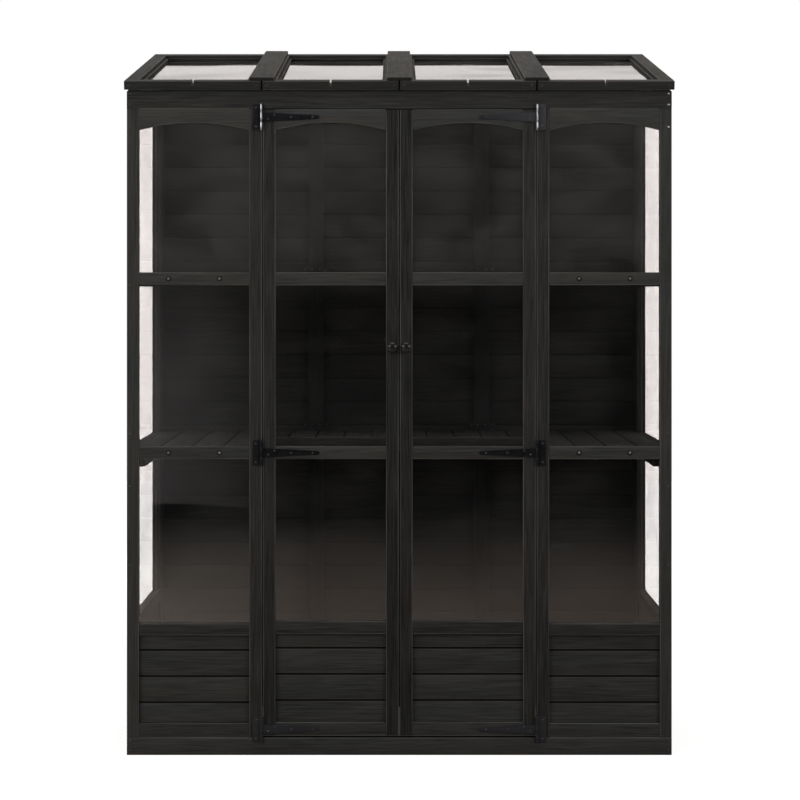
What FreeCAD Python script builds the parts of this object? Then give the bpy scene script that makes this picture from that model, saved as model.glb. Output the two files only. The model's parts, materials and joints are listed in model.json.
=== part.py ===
"""Wooden mini greenhouse: a walk-in cabinet of grooved timber frames and clear sheets.

Frame of the part: +X to the right, +Y to the back, +Z up, the origin on the ground
in the middle of the footprint. Lengths are millimetres, angles degrees.
"""
import FreeCAD, Part
import math
import os
import re
import Sketcher

SIZES = [
    # The cabinet
    ("body_width", 1471, "outside width over the corner stiles"),
    ("body_depth", 714, "front face to the outer face of the back boards"),
    ("front_height", 1794, "ground to the top of the front top rail"),
    ("frame_thick", 26, "thickness of every frame member of the walls"),
    ("base_rail", 47, "height of the base rails"),
    ("top_rail", 48.5, "height of the front top rail"),
    ("top_rail_round", 5, "rounding of the front top rail's upper corners"),
    ("corner_stile", 32, "width of the corner stiles of the front"),
    ("stile", 33.5, "width of the other stiles of the front"),
    ("cross_rail", 34, "height of the rails at shelf level"),
    # The doors and their gaps
    ("door_width", 366, "width of one door"),
    ("meeting_gap", 4, "gap between the two doors"),
    ("side_gap", 3, "gap between a door and the fixed panel"),
    ("door_bottom_gap", 6, "gap under the doors"),
    ("door_top_gap", 2.5, "gap over the doors"),
    ("door_bottom_rail", 36, "height of a door's bottom rail"),
    ("door_sill_level", 327, "underside of a door's sill rail"),
    ("door_sill_rail", 34, "height of a door's sill rail"),
    # The fixed panels beside the doors, and the side walls
    ("fixed_bottom_rail", 39, "height of the fixed panels' bottom rail"),
    ("fixed_sill_level", 323.5, "underside of the fixed panels' sill rail"),
    ("fixed_sill_rail", 31.5, "height of the front sill rail"),
    ("side_sill_rail", 42, "height of the side sill rail"),
    ("side_front_stile", 34, "width of a side wall's front stile"),
    ("side_rear_stile", 70, "width of a side wall's rear stile"),
    ("rear_post", 44, "depth of a rear corner post"),
    ("side_top_rail", 48, "height of the sloping side rails and rafters"),
    # The arched heads of the front windows
    ("crown_drop", 38.5, "front top rail to the crown of the arches"),
    ("arch_rise", 20.5, "rise of an arch over its ends"),
    # The rebate that takes sheets and boards
    ("lip", 10, "timber left in front of the rebate"),
    ("rebate", 8, "width of the rebate round an opening"),
    ("rebate_gap", 0.5, "play between a sheet or board and the rebate"),
    ("bead_gap", 0.3, "play of a glazing bead in the rebate"),
    ("pane", 3, "thickness of the clear sheets"),
    ("overrun", 3, "how far a cut runs past the timber"),
    # The tongued and grooved boards
    ("board_thick", 12, "thickness of the lower panels' boards"),
    ("back_board", 14, "thickness of the back wall's boards"),
    ("board_pitch", 70.7, "cover width of one board"),
    ("first_joint", 94, "panel's lower edge to its first board joint"),
    ("tongue", 6, "length of a tongue"),
    ("tongue_thick", 4, "thickness of a tongue"),
    ("tongue_play", 0.4, "play of a tongue in its groove"),
    ("joint_gap", 0.3, "gap between two boards' shoulders"),
    ("board_chamfer", 1.5, "chamfer along a board's edges"),
    # The framing of the back wall
    ("stud_width", 44, "width of the back wall's studs"),
    ("stud_thick", 18, "thickness of the back wall's studs"),
    ("stud_centre", 250, "middle of the cabinet to a stud's middle"),
    ("back_top_rail", 60, "height of the back wall's top rail"),
    ("eaves_rail", 44, "height of the rail under the roof's back edge"),
    # The roof
    ("roof_slope", 11.7, "slope of the roof, up towards the back"),
    ("roof_gap", 3, "front top rail to the roof plane, at the front face"),
    ("front_overhang", 12, "roof in front of the front face"),
    ("back_overhang", 28, "roof behind the back boards"),
    ("side_overhang", 6, "roof beside the side walls"),
    ("panel_gap", 3.5, "gap between two roof panels"),
    ("roof_rail", 37.5, "width of a roof panel's rails"),
    ("roof_rail_high", 24, "height of a roof panel's rails"),
    ("pane_level", 5, "underside of a roof panel to its sheet"),
    ("pane_groove", 5, "depth of the groove round a roof sheet"),
    ("pane_play", 0.2, "play over and under a roof sheet"),
    ("roof_bead", 7, "width of the beads on a roof sheet"),
    ("roof_bead_high", 6, "height of the beads on a roof sheet"),
    ("notch_width", 4.5, "width of the drain notch in a front roof rail"),
    ("notch_deep", 12, "depth of the drain notch"),
    ("batten_width", 68, "width of a roof batten"),
    ("batten_thick", 9.5, "thickness of a roof batten"),
    ("batten_chamfer", 4, "chamfer of a batten's corners"),
    ("rafter_width", 34, "width of the rafters under the panel joints"),
    # The shelves
    ("lower_shelf", 833, "ground to the top of the lower shelves"),
    ("upper_shelf", 1303, "ground to the top of the upper shelves"),
    ("slat_thick", 12, "thickness of the slats"),
    ("slat_gap", 4, "gap between slats"),
    ("first_slat", 76, "width of a side shelf's first slat"),
    ("side_slat", 80, "width of a side shelf's other slats"),
    ("side_shelf_edge", 399, "middle of the cabinet to a side shelf's edge"),
    ("centre_slats", 5, "number of a folding shelf's slats each side of the middle"),
    ("fold_side_gap", 3.5, "gap between a folding shelf's slats and the side shelves"),
    ("slat_end_gap", 1, "gap at a slat's ends and outer edge"),
    ("bearer_high", 22, "height of the shelf bearers"),
    ("bearer_thick", 18, "thickness of the shelf bearers and cleats"),
    ("rest_lap", 15, "reach of a rest under the folding shelf"),
    ("rest_width", 36, "width of the rests under the shelves' edges"),
    ("lower_cleat", 46, "height of the lower side cleats"),
    ("upper_cleat", 26, "height of the upper side cleats"),
    ("fold_depth", 357, "front face to a folding shelf's front edge"),
    ("fold_rail", 35, "height of a folding shelf's front rail"),
    ("fold_rail_gap", 1, "gap between a folding shelf's rails and the rests"),
    ("seat_gap", 0.3, "gap between a moving piece and its seat"),
    # The strap hinges of the doors
    ("barrel_radius", 4, "radius of a strap hinge's barrel"),
    ("barrel_set", 1, "edge of the fixed panel to the barrel's axis"),
    ("barrel_clear", 0.3, "gap between a knuckle and the timber or its neighbour"),
    ("pin_radius", 2, "radius of a strap hinge's pin"),
    ("pin_play", 0.05, "play round a pin, on the radius"),
    ("strap_length", 156, "length of a strap, from the axis"),
    ("strap_wide", 26, "width of a strap at the barrel"),
    ("strap_tip", 10, "width of a strap at its round tip"),
    ("strap_thick", 2.5, "thickness of a strap"),
    ("plate_high", 70, "height of a hinge plate and of the barrel"),
    ("plate_wide", 20, "width of a hinge plate"),
    ("plate_thick", 2, "thickness of a hinge plate"),
    ("hinge_inset", 21, "door's top edge to the top hinge's middle"),
    ("hinge_lift", 17, "door's bottom edge to the bottom hinge's middle"),
    # The butt hinges of the folding shelves and the skylights
    ("butt_long", 80, "length of a butt hinge"),
    ("butt_leaf", 20, "width of a leaf, from the axis"),
    ("butt_thick", 1.6, "thickness of a leaf"),
    ("butt_radius", 3.2, "radius of a butt hinge's knuckles"),
    ("butt_pin", 1.6, "radius of a butt hinge's pin"),
    ("skylight_hinge_inset", 55, "end of a roof panel to its nearest hinge"),
    # The knobs, catches and keepers
    ("knob_reach", 28, "door face to the front of a knob"),
    ("knob_radius", 15, "radius of a knob's head"),
    ("knob_head", 14, "thickness of a knob's head"),
    ("knob_rim", 5, "thickness of a knob's head at its rim"),
    ("knob_face", 8, "radius of the flat on a knob's head"),
    ("knob_flare", 6, "length of the flare behind a knob's head"),
    ("knob_neck", 6, "radius of a knob's neck"),
    ("knob_foot", 9, "radius of a knob's foot"),
    ("knob_foot_thick", 3, "thickness of a knob's foot"),
    ("knob_edge", 16.5, "door's edge to the knob's middle"),
    ("knob_level", 1101, "ground to the knobs"),
    ("catch_wide", 40, "width of a door catch"),
    ("catch_deep", 14, "depth of a door catch"),
    ("catch_high", 19, "height of a door catch over the rail's lower edge"),
    ("catch_drop", 18, "catch below the rail's lower edge"),
    ("catch_edge", 22, "middle of the cabinet to a catch"),
    ("strike_wide", 30, "width of a strike plate"),
    ("strike_high", 12, "height of a strike plate"),
    ("strike_thick", 1, "thickness of a strike plate"),
    ("strike_drop", 1, "door's top edge to the strike plate"),
    ("keeper_inset", 54.5, "side of the cabinet to the long keeper"),
    ("keeper_gap", 4, "gap between the two keepers"),
    ("keeper_long", 16, "length of the long keeper"),
    ("keeper_short", 8, "length of the short keeper"),
    ("keeper_deep", 12, "depth of a keeper"),
    ("keeper_set", 2, "front face to a keeper"),
    ("keeper_thick", 2.4, "thickness of a keeper"),
]

doc = FreeCAD.newDocument("MiniGreenhouse")
sheet = doc.addObject("Spreadsheet::Sheet", "Sizes")
for row, (alias, value, meaning) in enumerate(SIZES, start=1):
    sheet.set(f"A{row}", meaning)
    sheet.set(f"B{row}", str(value))
    sheet.setAlias(f"B{row}", alias)
doc.recompute()

ALIASES = {alias for alias, value, meaning in SIZES}
nodes = []

# Lines of the part that several pieces share, as formulas of the sheet's sizes
HALF = "(body_width / 2)"
SIDE_IN = "(body_width / 2 - frame_thick)"
BUTT_OFFSET = "(butt_radius + barrel_clear)"
BACK_REACH = f"(back_overhang + {BUTT_OFFSET} + butt_radius)"
FRONT = f"(knob_reach - (knob_reach + body_depth + {BACK_REACH}) / 2)"
FRONT_IN = f"({FRONT} + frame_thick)"
BACK = f"({FRONT} + body_depth)"
BACK_IN = f"({BACK} - back_board)"
STUD_FACE = f"({BACK_IN} - stud_thick)"
BACK_RAIL_FACE = f"({BACK_IN} - frame_thick)"
EAVES = f"({BACK} + back_overhang)"
TOP_RAIL_LOW = "(front_height - top_rail)"
CROWN = f"({TOP_RAIL_LOW} - crown_drop)"
DOOR_IN = "(meeting_gap / 2)"
DOOR_OUT = "(meeting_gap / 2 + door_width)"
DOOR_LOW = "(base_rail + door_bottom_gap)"
DOOR_TOP = "(front_height - top_rail - door_top_gap)"
FIXED_IN = "(meeting_gap / 2 + door_width + side_gap)"
BARREL_X = f"({FIXED_IN} + barrel_set)"
BARREL_Y = f"({FRONT} - barrel_radius - barrel_clear)"
SIDE_WINDOW_FRONT = f"({FRONT_IN} + side_front_stile)"
SIDE_WINDOW_BACK = f"({BACK_IN} - rear_post - side_rear_stile)"
ROOF_WIDTH = "(body_width + 2 * side_overhang)"
ROOF_RUN = "((front_overhang + body_depth + back_overhang) / cos(roof_slope))"
ROOF_START = f"({FRONT} - front_overhang)"
ROOF_LIFT = "(front_height + roof_gap - front_overhang * tan(roof_slope))"
REST_EDGE = "(side_shelf_edge - rest_lap)"
CENTRE_SLAT = "((side_shelf_edge - fold_side_gap + slat_gap / 2) / centre_slats - slat_gap)"
SHELVES = {"lower": "lower_shelf", "upper": "upper_shelf"}
SIDES = {"left": -1, "right": 1}


def formula(text):
    """The text with the sheet's name in front of every size that it names."""
    def named(match):
        word = match.group()
        return f"Sizes.{word}" if word in ALIASES else word
    return re.sub(r"[a-z_]+", named, text)


def number(text):
    """What a formula of the sheet's sizes comes to."""
    return float(sheet.evalExpression(formula(text)))


def bind(piece, **formulas):
    """Tie the piece's properties to formulas of the sheet's sizes."""
    for name, text in formulas.items():
        piece.setExpression(name, formula(text))


def place(piece, x="0", y="0", z="0", axis="0; 0; 1", angle="0"):
    """Tie the piece's placement to formulas: where it lies and how it is turned."""
    where = f"vector({x}; {y}; {z})"
    turn = f"rotation(vector({axis}); {angle})"
    piece.setExpression("Placement", formula(f"placement({where}; {turn})"))


def roof_plane(y):
    """Height of the rafters' upper edges at the depth y."""
    return f"(front_height + roof_gap + (({y}) - {FRONT}) * tan(roof_slope))"


def box(name, x, y, z):
    """A straight piece between two formulas along each axis."""
    piece = doc.addObject("Part::Box", name)
    bind(piece, Length=f"{x[1]} - ({x[0]})", Width=f"{y[1]} - ({y[0]})", Height=f"{z[1]} - ({z[0]})")
    place(piece, x[0], y[0], z[0])
    return piece


def wedge(name, x, y, z_front, z_back):
    """A piece whose lower and upper edges run straight from z_front to z_back."""
    piece = doc.addObject("Part::Wedge", name)
    bind(piece, Xmin=x[0], Xmax=x[1], X2min=x[0], X2max=x[1], Ymin=y[0], Ymax=y[1])
    bind(piece, Zmin=z_front[0], Zmax=z_front[1], Z2min=z_back[0], Z2max=z_back[1])
    return piece


def cylinder(name, radius, length, x="0", y="0", z="0", axis="0; 0; 1", angle="0"):
    piece = doc.addObject("Part::Cylinder", name)
    bind(piece, Radius=radius, Height=length)
    place(piece, x, y, z, axis, angle)
    return piece


def cut(name, base, *tools):
    """The base with the tools taken away."""
    piece = doc.addObject("Part::Cut", name)
    piece.Base = base
    piece.Tool = tools[0] if len(tools) == 1 else gather(f"{name}_tools", tools)
    return piece


def fuse(name, *parts):
    piece = doc.addObject("Part::MultiFuse", name)
    piece.Shapes = list(parts)
    piece.Refine = True
    return piece


def gather(name, parts):
    """Several separate solids as one object."""
    piece = doc.addObject("Part::Compound", name)
    piece.Links = list(parts)
    return piece


def keep(name, base, x, y, z):
    """The part of the base inside a box, as a board sawn off at its ends."""
    piece = doc.addObject("Part::Common", name)
    piece.Base = base
    piece.Tool = box(f"{name}_limits", x, y, z)
    return piece


def copy_of(name, master, **where):
    """The same piece once more, in another place."""
    piece = doc.addObject("App::Link", name)
    piece.LinkedObject = master
    piece.LinkTransform = False
    place(piece, **where)
    return piece


def node(label, parts, roof=False):
    """A named sub-part; roof pieces are made flat and laid on the slope here."""
    piece = gather(label, parts)
    piece.Label = label
    if roof:
        place(piece, "0", ROOF_START, ROOF_LIFT, "1; 0; 0", "roof_slope")
    nodes.append(piece)
    return piece


def span(side, low, high):
    """Two distances from the middle, as an interval on the left or the right."""
    return (low, high) if side > 0 else (f"-({high})", f"-({low})")


def outline_body(name, plane, corners, length):
    """A body padded from a straight-sided outline; each corner is a pair of formulas."""
    body = doc.addObject("PartDesign::Body", name)
    sketch = body.newObject("Sketcher::SketchObject", f"{name}_outline")
    datum = [item for item in body.Origin.OriginFeatures if item.Role == plane]
    sketch.AttachmentSupport = [(datum[0], "")]
    sketch.MapMode = "FlatFace"
    count = len(corners)
    ring = [FreeCAD.Vector(math.cos(turn), math.sin(turn), 0)
            for turn in (2 * math.pi * index / count for index in range(count))]
    sketch.addGeometry([Part.LineSegment(ring[index], ring[(index + 1) % count])
                        for index in range(count)])
    ties = [Sketcher.Constraint("Coincident", index, 2, (index + 1) % count, 1)
            for index in range(count)]
    formulas = []
    for index, (across, up) in enumerate(corners):
        for kind, zero_line, text in (("DistanceX", -2, across), ("DistanceY", -1, up)):
            if text == "0":
                ties.append(Sketcher.Constraint("PointOnObject", index, 1, zero_line))
            else:
                formulas.append((len(ties), text))
                ties.append(Sketcher.Constraint(kind, -1, 1, index, 1, 1.0))
    sketch.addConstraint(ties)
    for index, text in formulas:
        sketch.setExpression(f"Constraints[{index}]", formula(text))
    pad = body.newObject("PartDesign::Pad", f"{name}_pad")
    pad.Profile = sketch
    bind(pad, Length=length)
    body.Tip = pad
    return body


def tongued_board(name, length, thick):
    """A board with a groove below, a tongue above and chamfered edges."""
    mid = f"{thick} / 2"
    face = "(board_pitch - joint_gap)"
    groove = "(tongue_thick + tongue_play) / 2"
    groove_top = "(tongue + tongue_play)"
    half = "tongue_thick / 2"
    corners = [
        ("board_chamfer", "0"),
        (f"{mid} - {groove}", "0"),
        (f"{mid} - {groove}", groove_top),
        (f"{mid} + {groove}", groove_top),
        (f"{mid} + {groove}", "0"),
        (f"{thick} - board_chamfer", "0"),
        (thick, "board_chamfer"),
        (thick, f"{face} - board_chamfer"),
        (f"{thick} - board_chamfer", face),
        (f"{mid} + {half}", face),
        (f"{mid} + {half}", f"{face} + tongue"),
        (f"{mid} - {half}", f"{face} + tongue"),
        (f"{mid} - {half}", face),
        ("board_chamfer", face),
        ("0", f"{face} - board_chamfer"),
        ("0", "board_chamfer"),
    ]
    return outline_body(name, "YZ_Plane", corners, length)


def board_stack(name, master, where, first, low, high, limits):
    """Boards one on another from low to high, the lowest and highest sawn off.

    where places a board but for its height, first is the lowest board's underside,
    and limits are the x and y intervals of the space that the boards fill.
    """
    count = math.ceil(number(f"({high} - {first}) / board_pitch"))
    boards = []
    for index in range(count):
        level = f"{first} + {index} * board_pitch"
        board = copy_of(f"{name}_{index}", master, z=level, **where)
        if index in (0, count - 1):
            board = keep(f"{name}_{index}_sawn", board, *limits, (low, high))
        boards.append(board)
    return boards


def side_board_stack(side):
    """The boards in the lower panel of a side wall."""
    edge = f"({HALF} - lip)"
    if side > 0:
        where = {"x": edge, "y": f"{SIDE_WINDOW_FRONT} - rebate + rebate_gap", "angle": "90"}
    else:
        where = {"x": f"-{edge}", "y": f"{SIDE_WINDOW_BACK} + rebate - rebate_gap", "angle": "-90"}
    return panel_boards(f"side_board_{side}", side_board, where, "base_rail", "fixed_bottom_rail",
                        "fixed_sill_level", span(side, SIDE_IN, HALF), (FRONT_IN, BACK_IN))


def panel_boards(name, master, where, bottom, bottom_rail, sill, x, y):
    """The boards between a panel's bottom rail and its sill rail."""
    first = f"({bottom} + first_joint - board_pitch)"
    low = f"{bottom} + {bottom_rail} - rebate + rebate_gap"
    high = f"{sill} + rebate - rebate_gap"
    return board_stack(name, master, where, first, low, high, (x, y))


def front_panel(name, left, right, bottom, top, stiles, bottom_rail, sill, sill_rail, board):
    """A fixed panel or a door: stiles, rails, arched head, boards, sheets and beads."""
    window = (f"({left} + {stiles[0]})", f"({right} - {stiles[1]})")
    depth = (FRONT, FRONT_IN)
    wide = (f"{window[0]} - rebate", f"{window[1]} + rebate")
    openings = [
        (f"({bottom} + {bottom_rail})", sill),
        (f"({sill} + {sill_rail})", "(lower_shelf - cross_rail)"),
        ("lower_shelf", "(upper_shelf - cross_rail)"),
        ("upper_shelf", CROWN),
    ]
    behind_lip = (f"{FRONT} + lip", f"{FRONT_IN} + overrun")
    rebates = gather(f"{name}_rebates", [
        box(f"{name}_rebate_{index}", wide, behind_lip, (f"{low} - rebate", f"{high} + rebate"))
        for index, (low, high) in enumerate(openings)])
    stile_blanks = [box(f"{name}_stile_a", (left, window[0]), depth, (bottom, top)),
                    box(f"{name}_stile_b", (window[1], right), depth, (bottom, top))]
    rail_levels = [
        (bottom, f"{bottom} + {bottom_rail}"),
        (sill, f"{sill} + {sill_rail}"),
        ("lower_shelf - cross_rail", "lower_shelf"),
        ("upper_shelf - cross_rail", "upper_shelf"),
    ]
    rail_blanks = [box(f"{name}_rail_{index}", window, depth, level)
                   for index, level in enumerate(rail_levels)]
    head_blank = box(f"{name}_head", window, depth, (f"{CROWN} - arch_rise", top))
    half_window = f"(({window[1]} - {window[0]}) / 2)"
    arch_radius = f"(({half_window} ^ 2 + arch_rise ^ 2) / (2 * arch_rise))"
    arch = cylinder(f"{name}_arch", arch_radius, "frame_thick", f"({window[0]} + {window[1]}) / 2",
                    FRONT_IN, f"{CROWN} - {arch_radius}", "1; 0; 0", "90")
    sheet_depth = (f"{FRONT} + lip", f"{FRONT} + lip + pane")
    sheet_wide = (f"{wide[0]} + rebate_gap", f"{wide[1]} - rebate_gap")
    sheets = []
    beads = []
    for index, (low, high) in enumerate(openings[1:]):
        tall = (f"{low} - rebate + rebate_gap", f"{high} + rebate - rebate_gap")
        sheets.append(box(f"{name}_sheet_{index}", sheet_wide, sheet_depth, tall))
        beads += bead_frame(f"{name}_bead_{index}", window, (low, high))
    where = {"x": sheet_wide[0], "y": f"{FRONT} + lip"}
    boards = panel_boards(f"{name}_board", board, where, bottom, bottom_rail, sill, wide, depth)
    return {
        "stiles": [cut(f"{blank.Name}_rebated", blank, rebates) for blank in stile_blanks],
        "rails": [cut(f"{blank.Name}_rebated", blank, rebates) for blank in rail_blanks],
        "arch_rail": [cut(f"{name}_head_arched", head_blank, arch, rebates)],
        "boards": boards,
        "panes": sheets,
        "beads": beads,
    }


def bead_frame(name, window, tall):
    """Four strips that hold a sheet in the front's rebate, flush with the inside."""
    depth = (f"{FRONT} + lip + pane", FRONT_IN)
    low, high = tall
    outer = (f"{window[0]} - rebate + bead_gap", f"{window[1]} + rebate - bead_gap")
    lower = (f"{low} - rebate + bead_gap", low)
    upper = (high, f"{high} + rebate - bead_gap")
    return [
        box(f"{name}_low", outer, depth, lower),
        box(f"{name}_high", outer, depth, upper),
        box(f"{name}_a", (outer[0], window[0]), depth, tall),
        box(f"{name}_b", (window[1], outer[1]), depth, tall),
    ]


def side_wall(name, side):
    """A side wall: stiles, corner post, rails, sheets, beads and the sloping rail."""
    x = span(side, SIDE_IN, HALF)
    behind_lip = span(side, f"{SIDE_IN} - overrun", f"{HALF} - lip")
    low_openings = [
        ("(base_rail + fixed_bottom_rail)", "fixed_sill_level"),
        ("(fixed_sill_level + side_sill_rail)", "(lower_shelf - cross_rail)"),
        ("lower_shelf", "(upper_shelf - cross_rail)"),
    ]
    window = (SIDE_WINDOW_FRONT, SIDE_WINDOW_BACK)
    wide = (f"{window[0]} - rebate", f"{window[1]} + rebate")

    def head(y, lift="0"):
        return f"{roof_plane(y)} - side_top_rail + {lift}"

    tools = [box(f"{name}_rebate_{index}", behind_lip, wide, (f"{low} - rebate", f"{high} + rebate"))
             for index, (low, high) in enumerate(low_openings)]
    tools.append(wedge(f"{name}_rebate_top", behind_lip, wide,
                       ("upper_shelf - rebate", head(wide[0], "rebate")),
                       ("upper_shelf - rebate", head(wide[1], "rebate"))))
    rebates = gather(f"{name}_rebates", tools)

    def upright(label, y):
        return wedge(label, x, y, ("base_rail", head(y[0])), ("base_rail", head(y[1])))

    stiles = [upright(f"{name}_front_stile", (FRONT_IN, window[0])),
              upright(f"{name}_rear_stile", (window[1], f"{BACK_IN} - rear_post"))]
    post = upright(f"{name}_rear_post", (f"{BACK_IN} - rear_post", BACK_IN))
    rails = [box(f"{name}_rail_{index}", x, window, level) for index, level in enumerate([
        ("base_rail", "base_rail + fixed_bottom_rail"),
        ("fixed_sill_level", "fixed_sill_level + side_sill_rail"),
        ("lower_shelf - cross_rail", "lower_shelf"),
        ("upper_shelf - cross_rail", "upper_shelf")])]
    top = sloping_rail(f"{name}_top_rail", x, (FRONT_IN, BACK_IN))
    foot = box(f"{name}_base_rail", x, (FRONT_IN, BACK_IN), ("0", "base_rail"))
    sheet_x = span(side, f"{HALF} - lip - pane", f"{HALF} - lip")
    sheet_y = (f"{wide[0]} + rebate_gap", f"{wide[1]} - rebate_gap")
    bead_x = span(side, SIDE_IN, f"{HALF} - lip - pane")
    sheets = []
    beads = []
    for index, (low, high) in enumerate(low_openings[1:]):
        tall = (f"{low} - rebate + rebate_gap", f"{high} + rebate - rebate_gap")
        sheets.append(box(f"{name}_sheet_{index}", sheet_x, sheet_y, tall))
        beads += side_beads(f"{name}_bead_{index}", bead_x, window, low, (high, high))
    slack = "(rebate - rebate_gap)"
    sheets.append(wedge(f"{name}_sheet_top", sheet_x, sheet_y,
                        (f"upper_shelf - {slack}", head(sheet_y[0], slack)),
                        (f"upper_shelf - {slack}", head(sheet_y[1], slack))))
    beads += side_beads(f"{name}_bead_top", bead_x, window, "upper_shelf",
                        (head(window[0]), head(window[1])))
    return {
        "stiles": [cut(f"{blank.Name}_rebated", blank, rebates) for blank in stiles],
        "post": [post],
        "rails": [cut(f"{blank.Name}_rebated", blank, rebates) for blank in [*rails, top]] + [foot],
        "panes": sheets,
        "beads": beads,
    }


def side_beads(name, x, window, low, highs):
    """Four strips that hold a sheet in a side wall; the upper one may slope."""
    reach = "(rebate - bead_gap)"
    outer = (f"{window[0]} - {reach}", f"{window[1]} + {reach}")
    return [
        box(f"{name}_low", x, outer, (f"{low} - {reach}", low)),
        wedge(f"{name}_high", x, window, (highs[0], f"{highs[0]} + {reach}"),
              (highs[1], f"{highs[1]} + {reach}")),
        box(f"{name}_front", x, (outer[0], window[0]), (low, highs[0])),
        box(f"{name}_back", x, (window[1], outer[1]), (low, highs[1])),
    ]


def sloping_rail(name, x, y):
    """A rafter: a board under the roof plane from y[0] to y[1]."""
    z = [(f"{roof_plane(edge)} - side_top_rail", roof_plane(edge)) for edge in y]
    return wedge(name, x, y, z[0], z[1])


def front_top_rail():
    """The long rail over the doors, its upper corners rounded."""
    corners = [("-body_width / 2", TOP_RAIL_LOW), ("body_width / 2", TOP_RAIL_LOW),
               ("body_width / 2", "front_height"), ("-body_width / 2", "front_height")]
    body = outline_body("top_rail_body", "XZ_Plane", corners, "frame_thick")
    doc.recompute()
    pad = body.Tip
    middle = pad.Shape.BoundBox.Center
    ends = []
    for index, edge in enumerate(pad.Shape.Edges, start=1):
        runs_back = edge.BoundBox.YLength > number("frame_thick / 2")
        if runs_back and edge.BoundBox.Center.z > middle.z:
            ends.append(f"Edge{index}")
    rounding = body.newObject("PartDesign::Fillet", "top_rail_rounding")
    rounding.Base = (pad, ends)
    bind(rounding, Radius="top_rail_round")
    body.Tip = rounding
    place(body, y=f"{FRONT} + frame_thick")
    return body


def back_wall():
    """Studs, tongued boards and rails of the back, with the rail under the roof's edge."""
    studs = []
    foot_top = "base_rail"
    rail_low = f"{roof_plane(BACK_RAIL_FACE)} - back_top_rail"
    for side in (-1, 1):
        x = span(side, "stud_centre - stud_width / 2", "stud_centre + stud_width / 2")
        studs.append(box(f"back_stud_{side}", x, (STUD_FACE, BACK_IN), (foot_top, rail_low)))
    inside = (f"-{SIDE_IN}", SIDE_IN)
    outside = (f"-{HALF}", HALF)
    base = box("back_base_rail", inside, (BACK_RAIL_FACE, BACK_IN), ("0", foot_top))
    head = wedge("back_top_rail_blank", inside, (BACK_RAIL_FACE, BACK_IN),
                 (rail_low, roof_plane(BACK_RAIL_FACE)), (rail_low, roof_plane(BACK_IN)))
    eaves_low = f"{roof_plane(BACK)} - eaves_rail"
    eaves = wedge("eaves_rail_blank", outside, (BACK, EAVES),
                  (eaves_low, roof_plane(BACK)), (eaves_low, roof_plane(EAVES)))
    where = {"x": f"-{HALF}", "y": BACK_IN}
    boards = board_stack("back_board_piece", back_board, where, "0", "0", roof_plane(BACK_IN),
                         (outside, (BACK_IN, BACK)))
    return studs, [base, head, eaves], boards


def roof_panel(name, index):
    """A framed roof panel, made flat: rails with a grooved sheet, beads and a drain notch."""
    pitch = f"({ROOF_WIDTH} / 4)"
    left = f"({index - 2} * {pitch} + {'0' if index == 0 else 'panel_gap / 2'})"
    right = f"({index - 1} * {pitch} - {'0' if index == 3 else 'panel_gap / 2'})"
    window_x = (f"({left} + roof_rail)", f"({right} - roof_rail)")
    window_y = ("roof_rail", f"({ROOF_RUN} - roof_rail)")
    high = ("0", "roof_rail_high")
    groove_x = (f"{window_x[0]} - pane_groove", f"{window_x[1]} + pane_groove")
    groove_y = (f"{window_y[0]} - pane_groove", f"{window_y[1]} + pane_groove")
    groove = box(f"{name}_groove", groove_x, groove_y,
                 ("pane_level - pane_play", "pane_level + pane + pane_play"))
    middle = f"({left} + {right}) / 2"
    notch_floor = "(roof_rail_high - notch_deep + notch_width / 2)"
    through = ("-overrun", "roof_rail + overrun")
    slot = box(f"{name}_notch_slot", (f"{middle} - notch_width / 2", f"{middle} + notch_width / 2"),
               through, (notch_floor, "roof_rail_high + overrun"))
    round_floor = cylinder(f"{name}_notch_floor", "notch_width / 2", "roof_rail + 2 * overrun",
                           middle, through[1], notch_floor, "1; 0; 0", "90")
    notch = fuse(f"{name}_notch", slot, round_floor)
    rails = [
        cut(f"{name}_front_rail", box(f"{name}_front_blank", (left, right), ("0", "roof_rail"), high),
            groove, notch),
        cut(f"{name}_back_rail",
            box(f"{name}_back_blank", (left, right), (window_y[1], ROOF_RUN), high), groove),
        cut(f"{name}_left_rail",
            box(f"{name}_left_blank", (left, window_x[0]), window_y, high), groove),
        cut(f"{name}_right_rail",
            box(f"{name}_right_blank", (window_x[1], right), window_y, high), groove),
    ]
    pane = box(f"{name}_sheet",
               (f"{groove_x[0]} + rebate_gap", f"{groove_x[1]} - rebate_gap"),
               (f"{groove_y[0]} + rebate_gap", f"{groove_y[1]} - rebate_gap"),
               ("pane_level", "pane_level + pane"))
    bead_z = ("pane_level + pane", "pane_level + pane + roof_bead_high")
    inner_x = (f"{window_x[0]} + roof_bead", f"{window_x[1]} - roof_bead")
    beads = [
        box(f"{name}_bead_left", (window_x[0], inner_x[0]), window_y, bead_z),
        box(f"{name}_bead_right", (inner_x[1], window_x[1]), window_y, bead_z),
        box(f"{name}_bead_front", inner_x, (window_y[0], f"{window_y[0]} + roof_bead"), bead_z),
        box(f"{name}_bead_back", inner_x, (f"{window_y[1]} - roof_bead", window_y[1]), bead_z),
    ]
    return rails, [pane], beads


def batten(name, joint):
    """A flat cover strip over the joint of two roof panels, its corners chamfered."""
    half = "batten_width / 2"
    corners = [
        (f"-{half} + batten_chamfer", "0"),
        (f"{half} - batten_chamfer", "0"),
        (half, "batten_chamfer"),
        (half, f"{ROOF_RUN} - batten_chamfer"),
        (f"{half} - batten_chamfer", ROOF_RUN),
        (f"-{half} + batten_chamfer", ROOF_RUN),
        (f"-{half}", f"{ROOF_RUN} - batten_chamfer"),
        (f"-{half}", "batten_chamfer"),
    ]
    body = outline_body(f"{name}_body", "XY_Plane", corners, "batten_thick")
    place(body, x=f"{joint} * {ROOF_WIDTH} / 4", z="roof_rail_high")
    return body


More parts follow.
